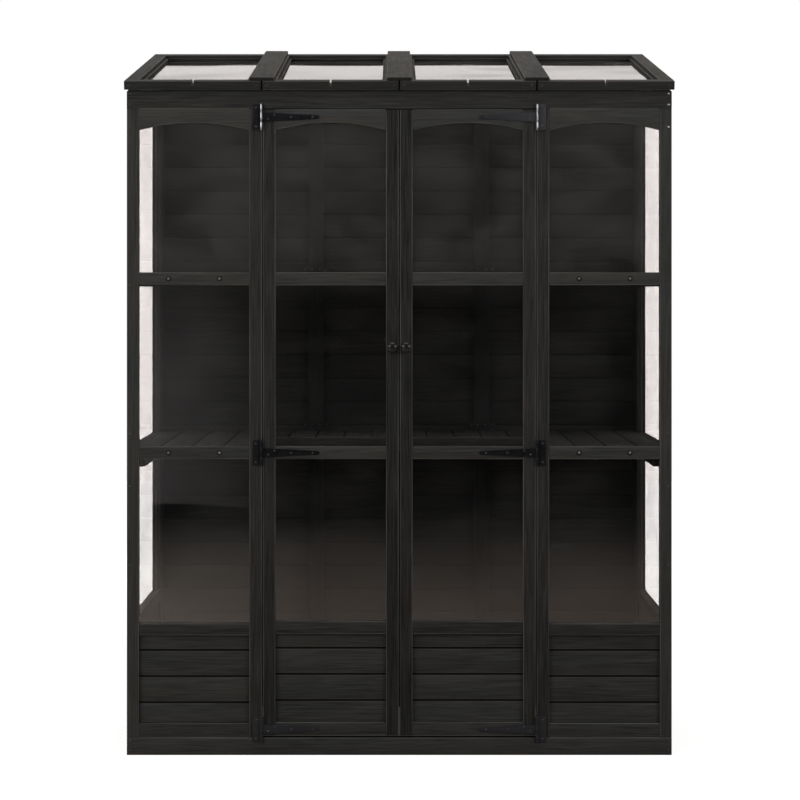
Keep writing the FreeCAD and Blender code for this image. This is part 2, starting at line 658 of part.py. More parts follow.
def strap_hinge():
    """The three pieces of a strap hinge round its pin: strap, plate and pin."""
    bore = cylinder("strap_bore", "pin_radius + pin_play", "2 * plate_high", z="-plate_high")
    face = "(barrel_radius + barrel_clear)"
    tip = "strap_tip / 2"
    blade = wedge("strap_blade", (f"-{face}", f"strap_thick - {face}"), ("0", f"strap_length - {tip}"),
                  ("-strap_wide / 2", "strap_wide / 2"), (f"-{tip}", tip))
    place(blade, angle="-90")
    point = cylinder("strap_point", tip, "strap_thick", f"strap_length - {tip}", face,
                     axis="1; 0; 0", angle="90")
    knuckle = cylinder("strap_knuckle", "barrel_radius", "strap_wide", z="-strap_wide / 2")
    strap = cut("strap_master", fuse("strap_blank", blade, point, knuckle), bore)
    plate_y = (f"{face} - plate_thick", face)
    flange = box("plate_flange", ("-barrel_radius - plate_wide", "-barrel_radius"), plate_y,
                 ("-plate_high / 2", "plate_high / 2"))
    knuckle_low = "(strap_wide / 2 + barrel_clear)"
    knuckle_long = f"(plate_high / 2 - {knuckle_low})"
    pieces = [flange]
    for label, low in (("upper", knuckle_low), ("lower", "(-plate_high / 2)")):
        pieces.append(cylinder(f"plate_{label}_knuckle", "barrel_radius", knuckle_long, z=low))
        pieces.append(box(f"plate_{label}_arm", ("-barrel_radius", "0"), plate_y,
                          (low, f"{low} + {knuckle_long}")))
    plate = cut("plate_master", fuse("plate_blank", *pieces), bore)
    shank = cylinder("pin_shank", "pin_radius", "plate_high", z="-plate_high / 2")
    return strap, plate, gather("pin_master", [shank])


def butt_hinge():
    """A butt hinge along X: a standing leaf with its pin, and a lying leaf."""
    third = "((butt_long - 2 * barrel_clear) / 3)"
    bore = cylinder("butt_bore", "butt_pin + pin_play", "2 * butt_long", "-butt_long",
                    axis="0; 1; 0", angle="90")
    leaf_y = (f"{BUTT_OFFSET} - butt_thick", BUTT_OFFSET)
    standing = [box("standing_leaf", ("-butt_long / 2", "butt_long / 2"), leaf_y,
                    (BUTT_OFFSET, "butt_leaf"))]
    for label, start in (("left", "(-butt_long / 2)"), ("right", f"(butt_long / 2 - {third})")):
        standing.append(cylinder(f"standing_{label}_knuckle", "butt_radius", third, start,
                                 axis="0; 1; 0", angle="90"))
        standing.append(box(f"standing_{label}_root", (start, f"{start} + {third}"), leaf_y,
                            ("0", BUTT_OFFSET)))
    lying_z = (f"-{BUTT_OFFSET}", f"butt_thick - {BUTT_OFFSET}")
    lying = [
        box("lying_leaf", ("-butt_long / 2", "butt_long / 2"), ("-butt_leaf", f"-{BUTT_OFFSET}"), lying_z),
        box("lying_root", (f"-{third} / 2", f"{third} / 2"), (f"-{BUTT_OFFSET}", "0"), lying_z),
        cylinder("lying_knuckle", "butt_radius", third, f"-{third} / 2", axis="0; 1; 0", angle="90"),
    ]
    standing.append(cylinder("butt_pin_shank", "butt_pin", "butt_long", "-butt_long / 2",
                             axis="0; 1; 0", angle="90"))
    return fuse("standing_master", *standing), cut("lying_master", fuse("lying_blank", *lying), bore)


def knob(name, side):
    """A mushroom knob turned towards the front: each cone runs from one ring to the next."""
    x = f"{side} * ({DOOR_IN} + knob_edge)"
    head_start = "(knob_reach - knob_head)"
    rim_start = f"({head_start} + knob_flare)"
    rim_end = f"({rim_start} + knob_rim)"
    shoulder = "((knob_radius + knob_face) / 2)"
    shoulder_end = f"({rim_end} + 2 * (knob_reach - {rim_end}) / 3)"
    rings = [
        ("0", "knob_foot"),
        ("knob_foot_thick", "knob_neck"),
        (head_start, "knob_neck"),
        (rim_start, "knob_radius"),
        (rim_end, "knob_radius"),
        (shoulder_end, shoulder),
        ("knob_reach", "knob_face"),
    ]
    turned = []
    for index, ((start, radius), (end, next_radius)) in enumerate(zip(rings, rings[1:])):
        where = {"x": x, "y": f"{FRONT} - {start}", "z": "knob_level", "axis": "1; 0; 0", "angle": "90"}
        length = f"{end} - {start}"
        if radius == next_radius:
            turned.append(cylinder(f"{name}_ring_{index}", radius, length, **where))
            continue
        cone = doc.addObject("Part::Cone", f"{name}_cone_{index}")
        bind(cone, Radius1=radius, Radius2=next_radius, Height=length)
        place(cone, **where)
        turned.append(cone)
    return fuse(f"{name}_turned", *turned)


def door(name, side):
    """One door with its straps, knob and strike plate."""
    left, right = span(side, DOOR_IN, DOOR_OUT)
    panel = front_panel(name, left, right, DOOR_LOW, DOOR_TOP, ("stile", "stile"),
                        "door_bottom_rail", "door_sill_level", "door_sill_rail", door_board)
    for kind in ("stiles", "rails", "arch_rail", "boards", "panes", "beads"):
        node(f"{name}_{kind}", panel[kind])
    node(f"{name}_hinge_straps", hinge_set(f"{name}_strap", strap, side))
    node(f"{name}_knob", [knob(f"{name}_knob", side)])
    middle = "(catch_edge + catch_wide / 2)"
    strike_x = span(side, f"{middle} - strike_wide / 2", f"{middle} + strike_wide / 2")
    strike = box(f"{name}_strike_plate", strike_x, (FRONT_IN, f"{FRONT_IN} + strike_thick"),
                 (f"{DOOR_TOP} - strike_drop - strike_high", f"{DOOR_TOP} - strike_drop"))
    node(f"{name}_strike", [strike])


def hinge_set(name, master, side):
    """Three copies of a strap hinge piece up one side of the doorway."""
    levels = (f"{DOOR_LOW} + hinge_lift", "lower_shelf - cross_rail / 2",
              f"{DOOR_TOP} - hinge_inset")
    turn = "0" if side < 0 else "180"
    return [copy_of(f"{name}_{index}", master, x=f"{side} * {BARREL_X}", y=BARREL_Y, z=level,
                    axis="0; 1; 0", angle=turn) for index, level in enumerate(levels)]


def door_catch(side):
    """A magnetic catch behind the front top rail, clear of the strike plate."""
    x = span(side, "catch_edge", "catch_edge + catch_wide")
    back = f"{FRONT_IN} + catch_deep"
    upper = box(f"catch_upper_{side}", x, (FRONT_IN, back),
                (TOP_RAIL_LOW, f"{TOP_RAIL_LOW} + catch_high"))
    lower = box(f"catch_lower_{side}", x, (f"{FRONT_IN} + strike_thick + seat_gap", back),
                (f"{TOP_RAIL_LOW} - catch_drop", TOP_RAIL_LOW))
    return fuse(f"catch_{side}", upper, lower)


def keepers(side):
    """The two small keeper plates under a skylight, on the front top rail."""
    y = (f"{FRONT} + keeper_set", f"{FRONT} + keeper_set + keeper_deep")
    z = ("front_height", "front_height + keeper_thick")
    long_end = f"({HALF} - keeper_inset)"
    short_end = f"({long_end} - keeper_long - keeper_gap)"
    short = span(side, f"{short_end} - keeper_short", short_end)
    long = span(side, f"{long_end} - keeper_long", long_end)
    return [box(f"keeper_short_{side}", short, y, z), box(f"keeper_long_{side}", long, y, z)]


def side_shelf(name, side, level):
    """Slats of a side shelf, front to back, the first and last ripped to fit."""
    z = (f"{level} - slat_thick", level)
    y = (f"{FRONT_IN} + slat_end_gap", f"{BACK_IN} - slat_end_gap")
    edge = f"({SIDE_IN} - slat_end_gap)"
    room = f"({edge} - side_shelf_edge - first_slat)"
    count = math.ceil(number(f"{room} / (side_slat + slat_gap)"))
    slats = [box(f"{name}_slat_0", span(side, "side_shelf_edge", "side_shelf_edge + first_slat"), y, z)]
    for index in range(count):
        start = f"(side_shelf_edge + first_slat + slat_gap + {index} * (side_slat + slat_gap))"
        end = edge if index == count - 1 else f"{start} + side_slat"
        slats.append(box(f"{name}_slat_{index + 1}", span(side, start, end), y, z))
    return slats


def shelf_supports(name, side, level, cleat):
    """Bearers, side cleat and edge rest under a side shelf."""
    top = f"({level} - slat_thick)"
    z = (f"{top} - bearer_high", top)
    rest_outer = f"({REST_EDGE} + rest_width)"
    between = (f"{FRONT_IN} + bearer_thick", f"{BACK_IN} - bearer_thick")
    return [
        box(f"{name}_rest", span(side, REST_EDGE, rest_outer), (FRONT_IN, BACK_IN), z),
        box(f"{name}_front_bearer", span(side, rest_outer, SIDE_IN), (FRONT_IN, between[0]), z),
        box(f"{name}_back_bearer", span(side, rest_outer, SIDE_IN), (between[1], BACK_IN), z),
        box(f"{name}_cleat", span(side, f"{SIDE_IN} - bearer_thick", SIDE_IN), between,
            (f"{top} - {cleat}", top)),
    ]


def folding_shelf(name, level):
    """A half-deep slatted shelf that folds up against the back wall."""
    top = f"({level} + seat_gap)"
    under = f"({top} - slat_thick)"
    front = f"({FRONT} + fold_depth)"
    rail_back = f"({front} + bearer_thick)"
    back = f"({STUD_FACE} - slat_end_gap)"
    rail_x = (f"-({REST_EDGE} - fold_rail_gap)", f"{REST_EDGE} - fold_rail_gap")
    slats = []
    for index in range(int(number("centre_slats"))):
        start = f"(slat_gap / 2 + {index} * ({CENTRE_SLAT} + slat_gap))"
        for side in (-1, 1):
            slats.append(box(f"{name}_slat_{index}_{side}", span(side, start, f"{start} + {CENTRE_SLAT}"),
                             (rail_back, back), (under, top)))
    rails = [box(f"{name}_front_rail", rail_x, (front, rail_back), (f"{top} - fold_rail", top))]
    last = f"({back} - bearer_thick - butt_leaf)"
    starts = (rail_back, f"(({rail_back} + {last}) / 2)", last)
    for index, start in enumerate(starts):
        rails.append(box(f"{name}_under_rail_{index}", rail_x, (start, f"{start} + bearer_thick"),
                         (f"{under} - bearer_high", under)))
    leaves = [copy_of(f"{name}_leaf_{side}", lying_leaf, x=f"{side} * stud_centre",
                      y=f"{STUD_FACE} - {BUTT_OFFSET}", z=f"{top} + {BUTT_OFFSET}")
              for side in (-1, 1)]
    node(f"{name}_slats", slats)
    node(f"{name}_rails", rails)
    node(f"{name}_hinge_leaves", leaves)


def shelf_hinge_places():
    """Where the folding shelves' butt hinges have their axes."""
    return [{"x": f"{side} * stud_centre", "y": f"{STUD_FACE} - {BUTT_OFFSET}",
             "z": f"{level} + seat_gap + {BUTT_OFFSET}"}
            for level in SHELVES.values() for side in (-1, 1)]


def skylight_hinge_places(side):
    """Where a skylight's butt hinges have their axes, behind the roof's back edge."""
    inner = f"({ROOF_WIDTH} / 4 + panel_gap / 2 + skylight_hinge_inset + butt_long / 2)"
    outer = f"({ROOF_WIDTH} / 2 - skylight_hinge_inset - butt_long / 2)"
    y = f"({EAVES} + {BUTT_OFFSET})"
    z = f"({roof_plane(EAVES)} + {BUTT_OFFSET} * tan(roof_slope / 2))"
    return [{"x": f"{side} * {x}", "y": y, "z": z} for x in (inner, outer)]


def skylight(name, side):
    """An outer roof panel with the batten over its inner joint and its hinge leaves."""
    rails, panes, beads = roof_panel(name, 0 if side < 0 else 3)
    node(f"{name}_frame", rails, roof=True)
    node(f"{name}_pane", panes, roof=True)
    node(f"{name}_beads", beads, roof=True)
    node(f"{name}_batten", [batten(f"{name}_batten", side)], roof=True)
    node(f"{name}_hinge_leaves", [
        copy_of(f"{name}_leaf_{index}", lying_leaf, axis="1; 0; 0", angle="roof_slope - 90", **where)
        for index, where in enumerate(skylight_hinge_places(side))])


# Shared pieces that are copied
into_rebates = "2 * (rebate - rebate_gap)"
door_board = tongued_board("door_board_master", f"door_width - 2 * stile + {into_rebates}",
                           "board_thick")
fixed_board = tongued_board("fixed_board_master",
                            f"{HALF} - {FIXED_IN} - stile - corner_stile + {into_rebates}",
                            "board_thick")
side_board = tongued_board("side_board_master",
                           f"{SIDE_WINDOW_BACK} - {SIDE_WINDOW_FRONT} + {into_rebates}",
                           "board_thick")
back_board = tongued_board("back_board_master", "body_width", "back_board")
strap, plate, pin = strap_hinge()
standing_leaf, lying_leaf = butt_hinge()

# The front: top and base rails and the two fixed panels
node("front_top_rail", [front_top_rail()])
node("front_base_rail", [box("front_base", (f"-{HALF}", HALF), (FRONT, FRONT_IN), ("0", "base_rail"))])
walls = {"stiles": [], "rails": [], "arch_rail": [], "boards": [], "panes": [], "beads": []}
for hand, side in SIDES.items():
    edges = span(side, FIXED_IN, HALF)
    stile_pair = ("stile", "corner_stile") if side > 0 else ("corner_stile", "stile")
    fixed = front_panel(f"fixed_{hand}", *edges, "base_rail", TOP_RAIL_LOW, stile_pair,
                        "fixed_bottom_rail", "fixed_sill_level", "fixed_sill_rail", fixed_board)
    for kind, pieces in fixed.items():
        walls[kind] += pieces
node("front_stiles", walls["stiles"])
node("front_rails", walls["rails"])
node("front_arch_rails", walls["arch_rail"])

# The side walls
wall_sides = [side_wall(f"side_{hand}", side) for hand, side in SIDES.items()]
node("side_stiles", [piece for wall in wall_sides for piece in wall["stiles"]])
node("side_rails", [piece for wall in wall_sides for piece in wall["rails"]])
for side, wall in zip(SIDES.values(), wall_sides):
    walls["boards"] += side_board_stack(side)
    walls["panes"] += wall["panes"]
    walls["beads"] += wall["beads"]
node("wall_boards", walls["boards"])
node("wall_panes", walls["panes"])
node("wall_beads", walls["beads"])

# The back wall
studs, back_rails, back_boards = back_wall()
node("back_posts", [piece for wall in wall_sides for piece in wall["post"]] + studs)
node("back_rails", back_rails)
node("back_boards", back_boards)

# The roof: rafters, two fixed panels in the middle, a skylight at each end
node("roof_rafters", [
    sloping_rail(f"rafter_{joint + 1}", (f"{joint} * {ROOF_WIDTH} / 4 - rafter_width / 2",
                                         f"{joint} * {ROOF_WIDTH} / 4 + rafter_width / 2"),
                 (FRONT_IN, BACK_RAIL_FACE)) for joint in (-1, 0, 1)])
middle_panels = [roof_panel(f"roof_panel_{index}", index) for index in (1, 2)]
node("roof_frames", [rail for rails, panes, beads in middle_panels for rail in rails], roof=True)
node("roof_panes", [pane for rails, panes, beads in middle_panels for pane in panes], roof=True)
node("roof_beads", [bead for rails, panes, beads in middle_panels for bead in beads], roof=True)
node("roof_batten", [batten("roof_batten", 0)], roof=True)
for hand, side in SIDES.items():
    skylight(f"skylight_{hand}", side)

# The doors
for hand, side in SIDES.items():
    door(f"door_{hand}", side)

# The shelves
slats = []
supports = []
for tier, level in SHELVES.items():
    for side in SIDES.values():
        slats += side_shelf(f"{tier}_{side}", side, level)
        supports += shelf_supports(f"{tier}_{side}", side, level, f"{tier}_cleat")
    folding_shelf(f"shelf_{tier}", level)
node("side_shelf_slats", slats)
node("shelf_bearers", supports)

# The fixed ironwork
node("strap_hinge_plates", [piece for side in SIDES.values()
                            for piece in hinge_set(f"plate_{side}", plate, side)])
node("strap_hinge_pins", [piece for side in SIDES.values()
                          for piece in hinge_set(f"pin_{side}", pin, side)])
skylight_places = [where for side in SIDES.values() for where in skylight_hinge_places(side)]
butt_leaves = [copy_of(f"wall_leaf_{index}", standing_leaf, **where)
               for index, where in enumerate(shelf_hinge_places())]
butt_leaves += [copy_of(f"eaves_leaf_{index}", standing_leaf, axis="1; 0; 0", angle="180", **where)
                for index, where in enumerate(skylight_places)]
node("butt_hinge_leaves", butt_leaves)
node("door_catches", [door_catch(side) for side in SIDES.values()])
node("skylight_keepers", [piece for side in SIDES.values() for piece in keepers(side)])

doc.recompute()
for item in doc.Objects:
    faults = [state for state in item.State if state in ("Invalid", "Error")]
    if faults:
        raise RuntimeError(f"{item.Name} is {faults[0]}")
for piece in nodes:
    if piece.Shape.isNull() or not piece.Shape.isValid() or not piece.Shape.Solids:
        raise RuntimeError(f"{piece.Label} has no sound shape")

os.makedirs("parts", exist_ok=True)
for piece in nodes:
    piece.Shape.exportStep(f"parts/{piece.Label}.step")
print(len(nodes), "sub-parts,", sum(len(piece.Shape.Solids) for piece in nodes), "solids")
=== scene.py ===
"""Wooden mini greenhouse: stained timber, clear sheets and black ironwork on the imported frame."""

import json
import math
import random
from collections import defaultdict

import bmesh
import bpy
from mathutils import Matrix, Vector


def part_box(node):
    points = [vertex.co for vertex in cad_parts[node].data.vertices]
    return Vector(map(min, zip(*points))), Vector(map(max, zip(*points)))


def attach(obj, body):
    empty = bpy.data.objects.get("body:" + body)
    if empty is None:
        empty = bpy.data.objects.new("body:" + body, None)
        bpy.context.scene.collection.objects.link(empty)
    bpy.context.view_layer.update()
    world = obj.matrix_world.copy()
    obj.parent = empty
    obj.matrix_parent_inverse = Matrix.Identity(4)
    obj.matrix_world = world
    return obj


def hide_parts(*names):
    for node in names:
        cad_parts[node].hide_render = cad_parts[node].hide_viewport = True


MM = 0.001
ROOF_SLOPE = math.radians(11.7)
FRONT = Vector((0, -1, 0))
BACK = Vector((0, 1, 0))
UP = Vector((0, 0, 1))

WHITE = (1, 1, 1, 1)
# Black in the joints of boards and slats: painted shade, with pooled stain in the boards' grooves
JOINT_SHADE_BLACK = (0.0008, 0.0008, 0.0008, 1)
# Paler coat laid on the ironwork as painted sheen
PAINTED_SHEEN_COAT = (0.028, 0.029, 0.034, 1)
# Bright metal laid down the top hinges' knuckles as a painted highlight
HIGHLIGHT_METAL = (0.48, 0.48, 0.50, 1)

# How pale the stain is: nearly black at 0, and the palest grey at 1
PLAIN_TONE = 0.35
OUTER_STILE_TONE = 0.55
MEETING_STILE_TONE = 0.18
TONE_SPREAD = 0.06
# The front's rails, each tone up to a height in metres
RAIL_TONES = [(0.2, 0.42), (0.6, 0.29), (1.0, 0.51), (1.5, 0.65)]
# The other boards, by the first of these words that ends the node's name
TONES = {
    "arch_rail": 0.73,
    "arch_rails": 0.73,
    # The back's low tones are painted shade inside the cabinet
    "back_boards": 0.20,
    "back_posts": 0.08,
    "back_rails": 0.18,
    "front_stiles": 0.33,
    "side_stiles": 0.42,
    "side_rails": 0.42,
    "stiles": 0.28,
    "boards": 0.45,
    "slats": 0.75,
    "batten": 0.66,
    "top_rail": 0.44,
    "base_rail": 0.5,
    "frame": 0.7,
    "frames": 0.7,
}
# The back boards are this much paler outside than inside, where their low tone is painted shade
OUTER_SIDE_PALER = 0.3
# How far, in metres, each board's grain is moved along, across and through it
GRAIN_SHIFTS = ((0, 20), (-0.06, 0.06), (0.03, 0.12))

# How far the black of a joint, painted shade with pooled stain in the boards' grooves, comes in over the long
# sides of a board or a slat
BOARD_RIM = 1.3 * MM
SLAT_RIM = 1.1 * MM

# Width of the eased edges of each finish, and their segments
EASING = {
    "clear_sheet": (0.3 * MM, 1),
    "black_iron": (0.35 * MM, 2),
    "zinc_plate": (0.2 * MM, 1),
    "catch_plastic": (0.8 * MM, 2),
    "boards": (0.3 * MM, 1),
    "beads": (0.6 * MM, 2),
    "frames": (1.3 * MM, 2),
}

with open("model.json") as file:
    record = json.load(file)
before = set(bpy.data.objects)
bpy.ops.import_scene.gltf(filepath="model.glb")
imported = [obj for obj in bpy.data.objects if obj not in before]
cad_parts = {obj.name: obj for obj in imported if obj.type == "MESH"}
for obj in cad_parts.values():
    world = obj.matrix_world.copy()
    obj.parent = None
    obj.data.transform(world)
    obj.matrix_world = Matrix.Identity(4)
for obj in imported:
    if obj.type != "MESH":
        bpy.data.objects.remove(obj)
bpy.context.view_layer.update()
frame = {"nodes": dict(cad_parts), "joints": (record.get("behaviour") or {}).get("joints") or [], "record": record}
NODE_BODY = {node: body for body, nodes in frame["record"]["behaviour"]["bodies"].items()
             for node in nodes}
SLOTS = {part["node"]: part["material_slot"] for part in frame["record"]["subparts"]}
chance = random.Random(7)


# Shader helpers

def add_node(tree, kind, settings=None, **inputs):
    """A shader node; its inputs go by name or as _number, each a value or a socket to link."""
    node = tree.nodes.new(kind)
    for name, value in (settings or {}).items():
        setattr(node, name, value)
    for name, value in inputs.items():
        key = int(name[1:]) if name[0] == "_" else name.replace("_", " ")
        if isinstance(value, bpy.types.NodeSocket):
            tree.links.new(value, node.inputs[key])
        else:
            node.inputs[key].default_value = value
    return node


def math_node(tree, operation, *values, clamp=False):
    """The result of one sum on sockets or numbers."""
    inputs = {f"_{index}": value for index, value in enumerate(values)}
    return add_node(tree, "ShaderNodeMath", {"operation": operation, "use_clamp": clamp},
                    **inputs).outputs[0]


def vector_node(tree, operation, *values):
    """The result of one sum on vectors."""
    inputs = {f"_{index}": value for index, value in enumerate(values)}
    return add_node(tree, "ShaderNodeVectorMath", {"operation": operation}, **inputs).outputs[0]


def remap(tree, value, low, high, to_low=0.0, to_high=1.0):
    """The value moved from one range to another, and held inside it."""
    return add_node(tree, "ShaderNodeMapRange", None, Value=value, From_Min=low, From_Max=high,
                    To_Min=to_low, To_Max=to_high).outputs[0]


def mix_colour(tree, share, first, second, blend="MIX"):
    """The share of the second colour mixed into the first."""
    settings = {"data_type": "RGBA", "blend_type": blend}
    return add_node(tree, "ShaderNodeMix", settings, _0=share, _6=first, _7=second).outputs[2]


def noise(tree, vector, scale, detail=2.0, rough=0.5, distortion=0.0):
    """A soft random pattern from 0 to 1."""
    return add_node(tree, "ShaderNodeTexNoise", None, Vector=vector, Scale=scale, Detail=detail,
                    Roughness=rough, Distortion=distortion).outputs[0]


def stretched(tree, vector, along, across):
    """The vector scaled along the grain and across it."""
    return add_node(tree, "ShaderNodeMapping", None, Vector=vector,
                    Scale=(along, across, across)).outputs[0]


def object_place(tree):
    """The point's place in the object's own frame."""
    return add_node(tree, "ShaderNodeTexCoord").outputs["Object"]


def new_group(name, inputs, outputs):
    """A node group with named inputs and outputs; returns it and its sockets inside."""
    group = bpy.data.node_groups.new(name, "ShaderNodeTree")
    for side, sockets in (("INPUT", inputs), ("OUTPUT", outputs)):
        for label, kind in sockets.items():
            group.interface.new_socket(label, in_out=side, socket_type=f"NodeSocket{kind}")
    given = group.nodes.new("NodeGroupInput").outputs
    return group, given, group.nodes.new("NodeGroupOutput").inputs


def new_material(name):
    """A material with a Principled shader; returns it, its tree and the shader."""
    material = bpy.data.materials.new(name)
    material.use_nodes = True
    tree = material.node_tree
    return material, tree, tree.nodes["Principled BSDF"]


def feed(tree, socket, target):
    """A link from one socket to another."""
    tree.links.new(socket, target)


# Materials

def stain_wear_and_painted_light(tree, given, brush, colour):
    """A board's stain, paler along its arrises as rubbed stain and painted highlight,
    and darker at its ends as painted shade in the butt joints.

    Past a tongued board's broad face, in the joint, it is black: painted shade, with pooled stain in the grooves.
    """
    gaps = vector_node(tree, "SUBTRACT", given["Half"],
                       vector_node(tree, "ABSOLUTE", given["Place"]))
    ends, sides, faces = add_node(tree, "ShaderNodeSeparateXYZ", None, Vector=gaps).outputs
    arris = math_node(tree, "MAXIMUM", sides, faces)
    # Paler arrises: rubbed stain and a painted highlight
    arris_wear_and_highlight = math_node(tree, "MAXIMUM", remap(tree, arris, 0.6 * MM, 2.6 * MM, 0.30, 0.0),
                        given["Edge"])
    along_board = math_node(tree, "MULTIPLY", arris_wear_and_highlight, remap(tree, ends, 1.4 * MM, 3.0 * MM))
    wear_and_highlight = math_node(tree, "MULTIPLY", along_board, remap(tree, brush, 0.3, 0.6, 0.1, 1.0))
    colour = mix_colour(tree, wear_and_highlight, colour, given["Rubbed"])
    # Painted shade at the butt joints, near the ends of each board
    butt_shade = remap(tree, ends, 0.4 * MM, 2.0 * MM, 0.75, 0.0)
    colour = mix_colour(tree, butt_shade, colour, given["Dark"])
    # Painted shade in the joints, with pooled stain in the tongued boards' grooves
    joint = math_node(tree, "MULTIPLY", remap(tree, sides, -0.3 * MM, 0.3 * MM, 1.0, 0.0),
                      given["Contrast"])
    return mix_colour(tree, joint, colour, JOINT_SHADE_BLACK)


def timber_grain():
    """Growth rings, fibres and brushed stain of one board.

    Place is the point's place in the board, along, across and through it from its middle, and
    Half is half the board's size that way. Edge is 1 on eased edges.
    """
    tree, given, result = new_group(
        "timber grain",
        {"Place": "Vector", "Half": "Vector", "Shift": "Vector", "Tone": "Float", "Edge": "Float",
         "Contrast": "Float", "Dark": "Color", "Light": "Color", "Warm": "Color",
         "Rubbed": "Color"},
        {"Color": "Color", "Roughness": "Float", "Height": "Float"})
    grain = vector_node(tree, "ADD", given["Place"], given["Shift"])

    def drawn_out(along, across, detail=3.0, rough=0.6):
        """A noise with this many features a metre along the grain and across it."""
        return noise(tree, stretched(tree, grain, along, across), 1.0, detail, rough)

    ring_wander = 0.03
    rings_a_metre = 165.0
    _, across, through = add_node(tree, "ShaderNodeSeparateXYZ", None, Vector=grain).outputs
    radius = math_node(tree, "SQRT", math_node(tree, "MULTIPLY_ADD", through, through,
                                               math_node(tree, "POWER", across, 2.0)))
    bent = math_node(tree, "MULTIPLY_ADD", drawn_out(1.6, 9.0, 2.0, 0.5), ring_wander, radius)
    ring = math_node(tree, "FRACT", math_node(tree, "MULTIPLY", bent, rings_a_metre))
    late_wood = math_node(tree, "POWER", ring, 2.6)
    fine = remap(tree, drawn_out(10.0, 430.0), 0.36, 0.68)
    streaks = remap(tree, drawn_out(10.0, 240.0), 0.3, 0.7)
    brush = drawn_out(2.2, 75.0)
    cloud = remap(tree, drawn_out(5.0, 16.0), 0.3, 0.7)
    # Late wood darkens, the other patterns lighten, and the figure is about 0 on the whole
    figure = math_node(tree, "MULTIPLY_ADD", late_wood, -0.11, -0.31)
    for pattern, weight in ((fine, 0.34), (streaks, 0.28),
                            (remap(tree, brush, 0.3, 0.72), 0.05), (cloud, 0.12)):
        figure = math_node(tree, "MULTIPLY_ADD", pattern, weight, figure)
    tone = math_node(tree, "ADD", given["Tone"], 0.06)
    share = math_node(tree, "MULTIPLY_ADD", figure, given["Contrast"], tone, clamp=True)
    tint = remap(tree, drawn_out(3.0, 30.0, 2.0, 0.5), 0.38, 0.62)
    stain = mix_colour(tree, tint, given["Light"], given["Warm"])
    colour = mix_colour(tree, share, given["Dark"], stain)
    feed(tree, stain_wear_and_painted_light(tree, given, brush, colour), result["Color"])
    feed(tree, remap(tree, figure, -0.2, 0.3, 0.92, 0.74), result["Roughness"])
    feed(tree, math_node(tree, "MULTIPLY_ADD", fine, 0.6,
                         math_node(tree, "MULTIPLY", late_wood, 0.5)), result["Height"])
    return tree


def stained_timber(name, group, dark, light, warm, rubbed, contrast):
    """Planed softwood under a thin near-black stain; each piece's attributes place its grain."""
    material, tree, shader = new_material(name)
    place, half, shift, tone, edge = [
        add_node(tree, "ShaderNodeAttribute", {"attribute_name": label})
        for label in ("place", "half", "shift", "tone", "edge")]
    figure = add_node(tree, "ShaderNodeGroup", {"node_tree": group}, Place=place.outputs["Vector"],
                      Half=half.outputs["Vector"], Shift=shift.outputs["Vector"],
                      Tone=tone.outputs["Fac"], Edge=edge.outputs["Fac"], Contrast=contrast,
                      Dark=dark, Light=light, Warm=warm, Rubbed=rubbed)
    feed(tree, figure.outputs["Color"], shader.inputs["Base Color"])
    feed(tree, figure.outputs["Roughness"], shader.inputs["Roughness"])
    relief = add_node(tree, "ShaderNodeBump", None, Strength=0.5, Distance=0.0004,
                      Height=figure.outputs["Height"])
    feed(tree, relief.outputs[0], shader.inputs["Normal"])
    shader.inputs["Specular IOR Level"].default_value = 0.15
    return material


def clear_sheet():
    """Clear plastic sheet, a little wavy, which lets the lamps through.

    Its film of dust is three times as thick above the upper shelf.
    """
    material, tree, shader = new_material("clear_sheet")
    place = object_place(tree)
    waves = noise(tree, place, 3.0, 1.0, 0.4)
    relief = add_node(tree, "ShaderNodeBump", None, Strength=0.3, Distance=0.004, Height=waves)
    shader.inputs["Base Color"].default_value = (0.97, 0.955, 0.95, 1)
    shader.inputs["Roughness"].default_value = 0.0
    shader.inputs["IOR"].default_value = 1.45
    shader.inputs["Transmission Weight"].default_value = 1.0
    feed(tree, relief.outputs[0], shader.inputs["Normal"])
    path = add_node(tree, "ShaderNodeLightPath")
    through = math_node(tree, "MAXIMUM", path.outputs["Is Shadow Ray"],
                        path.outputs["Is Diffuse Ray"])
    clear = add_node(tree, "ShaderNodeBsdfTransparent", None, Color=(0.80, 0.80, 0.79, 1))
    sheet = add_node(tree, "ShaderNodeMixShader", None, _0=through, _1=shader.outputs[0],
                     _2=clear.outputs[0])
    wipes = noise(tree, stretched(tree, place, 5.0, 9.0), 1.0, 3.0, 0.5, 0.6)
    height = add_node(tree, "ShaderNodeSeparateXYZ", None, Vector=place).outputs[2]
    thicker = remap(tree, height, 1.27, 1.34, 1.0, 3.0)
    film = math_node(tree, "MULTIPLY", remap(tree, wipes, 0.4, 0.7, 0.0006, 0.0032), thicker)
    dust = add_node(tree, "ShaderNodeBsdfDiffuse", None, Color=(0.8, 0.8, 0.8, 1))
    filmed = add_node(tree, "ShaderNodeMixShader", None, _0=film, _1=sheet.outputs[0],
                      _2=dust.outputs[0])
    feed(tree, filmed.outputs[0], tree.nodes["Material Output"].inputs[0])
    return material


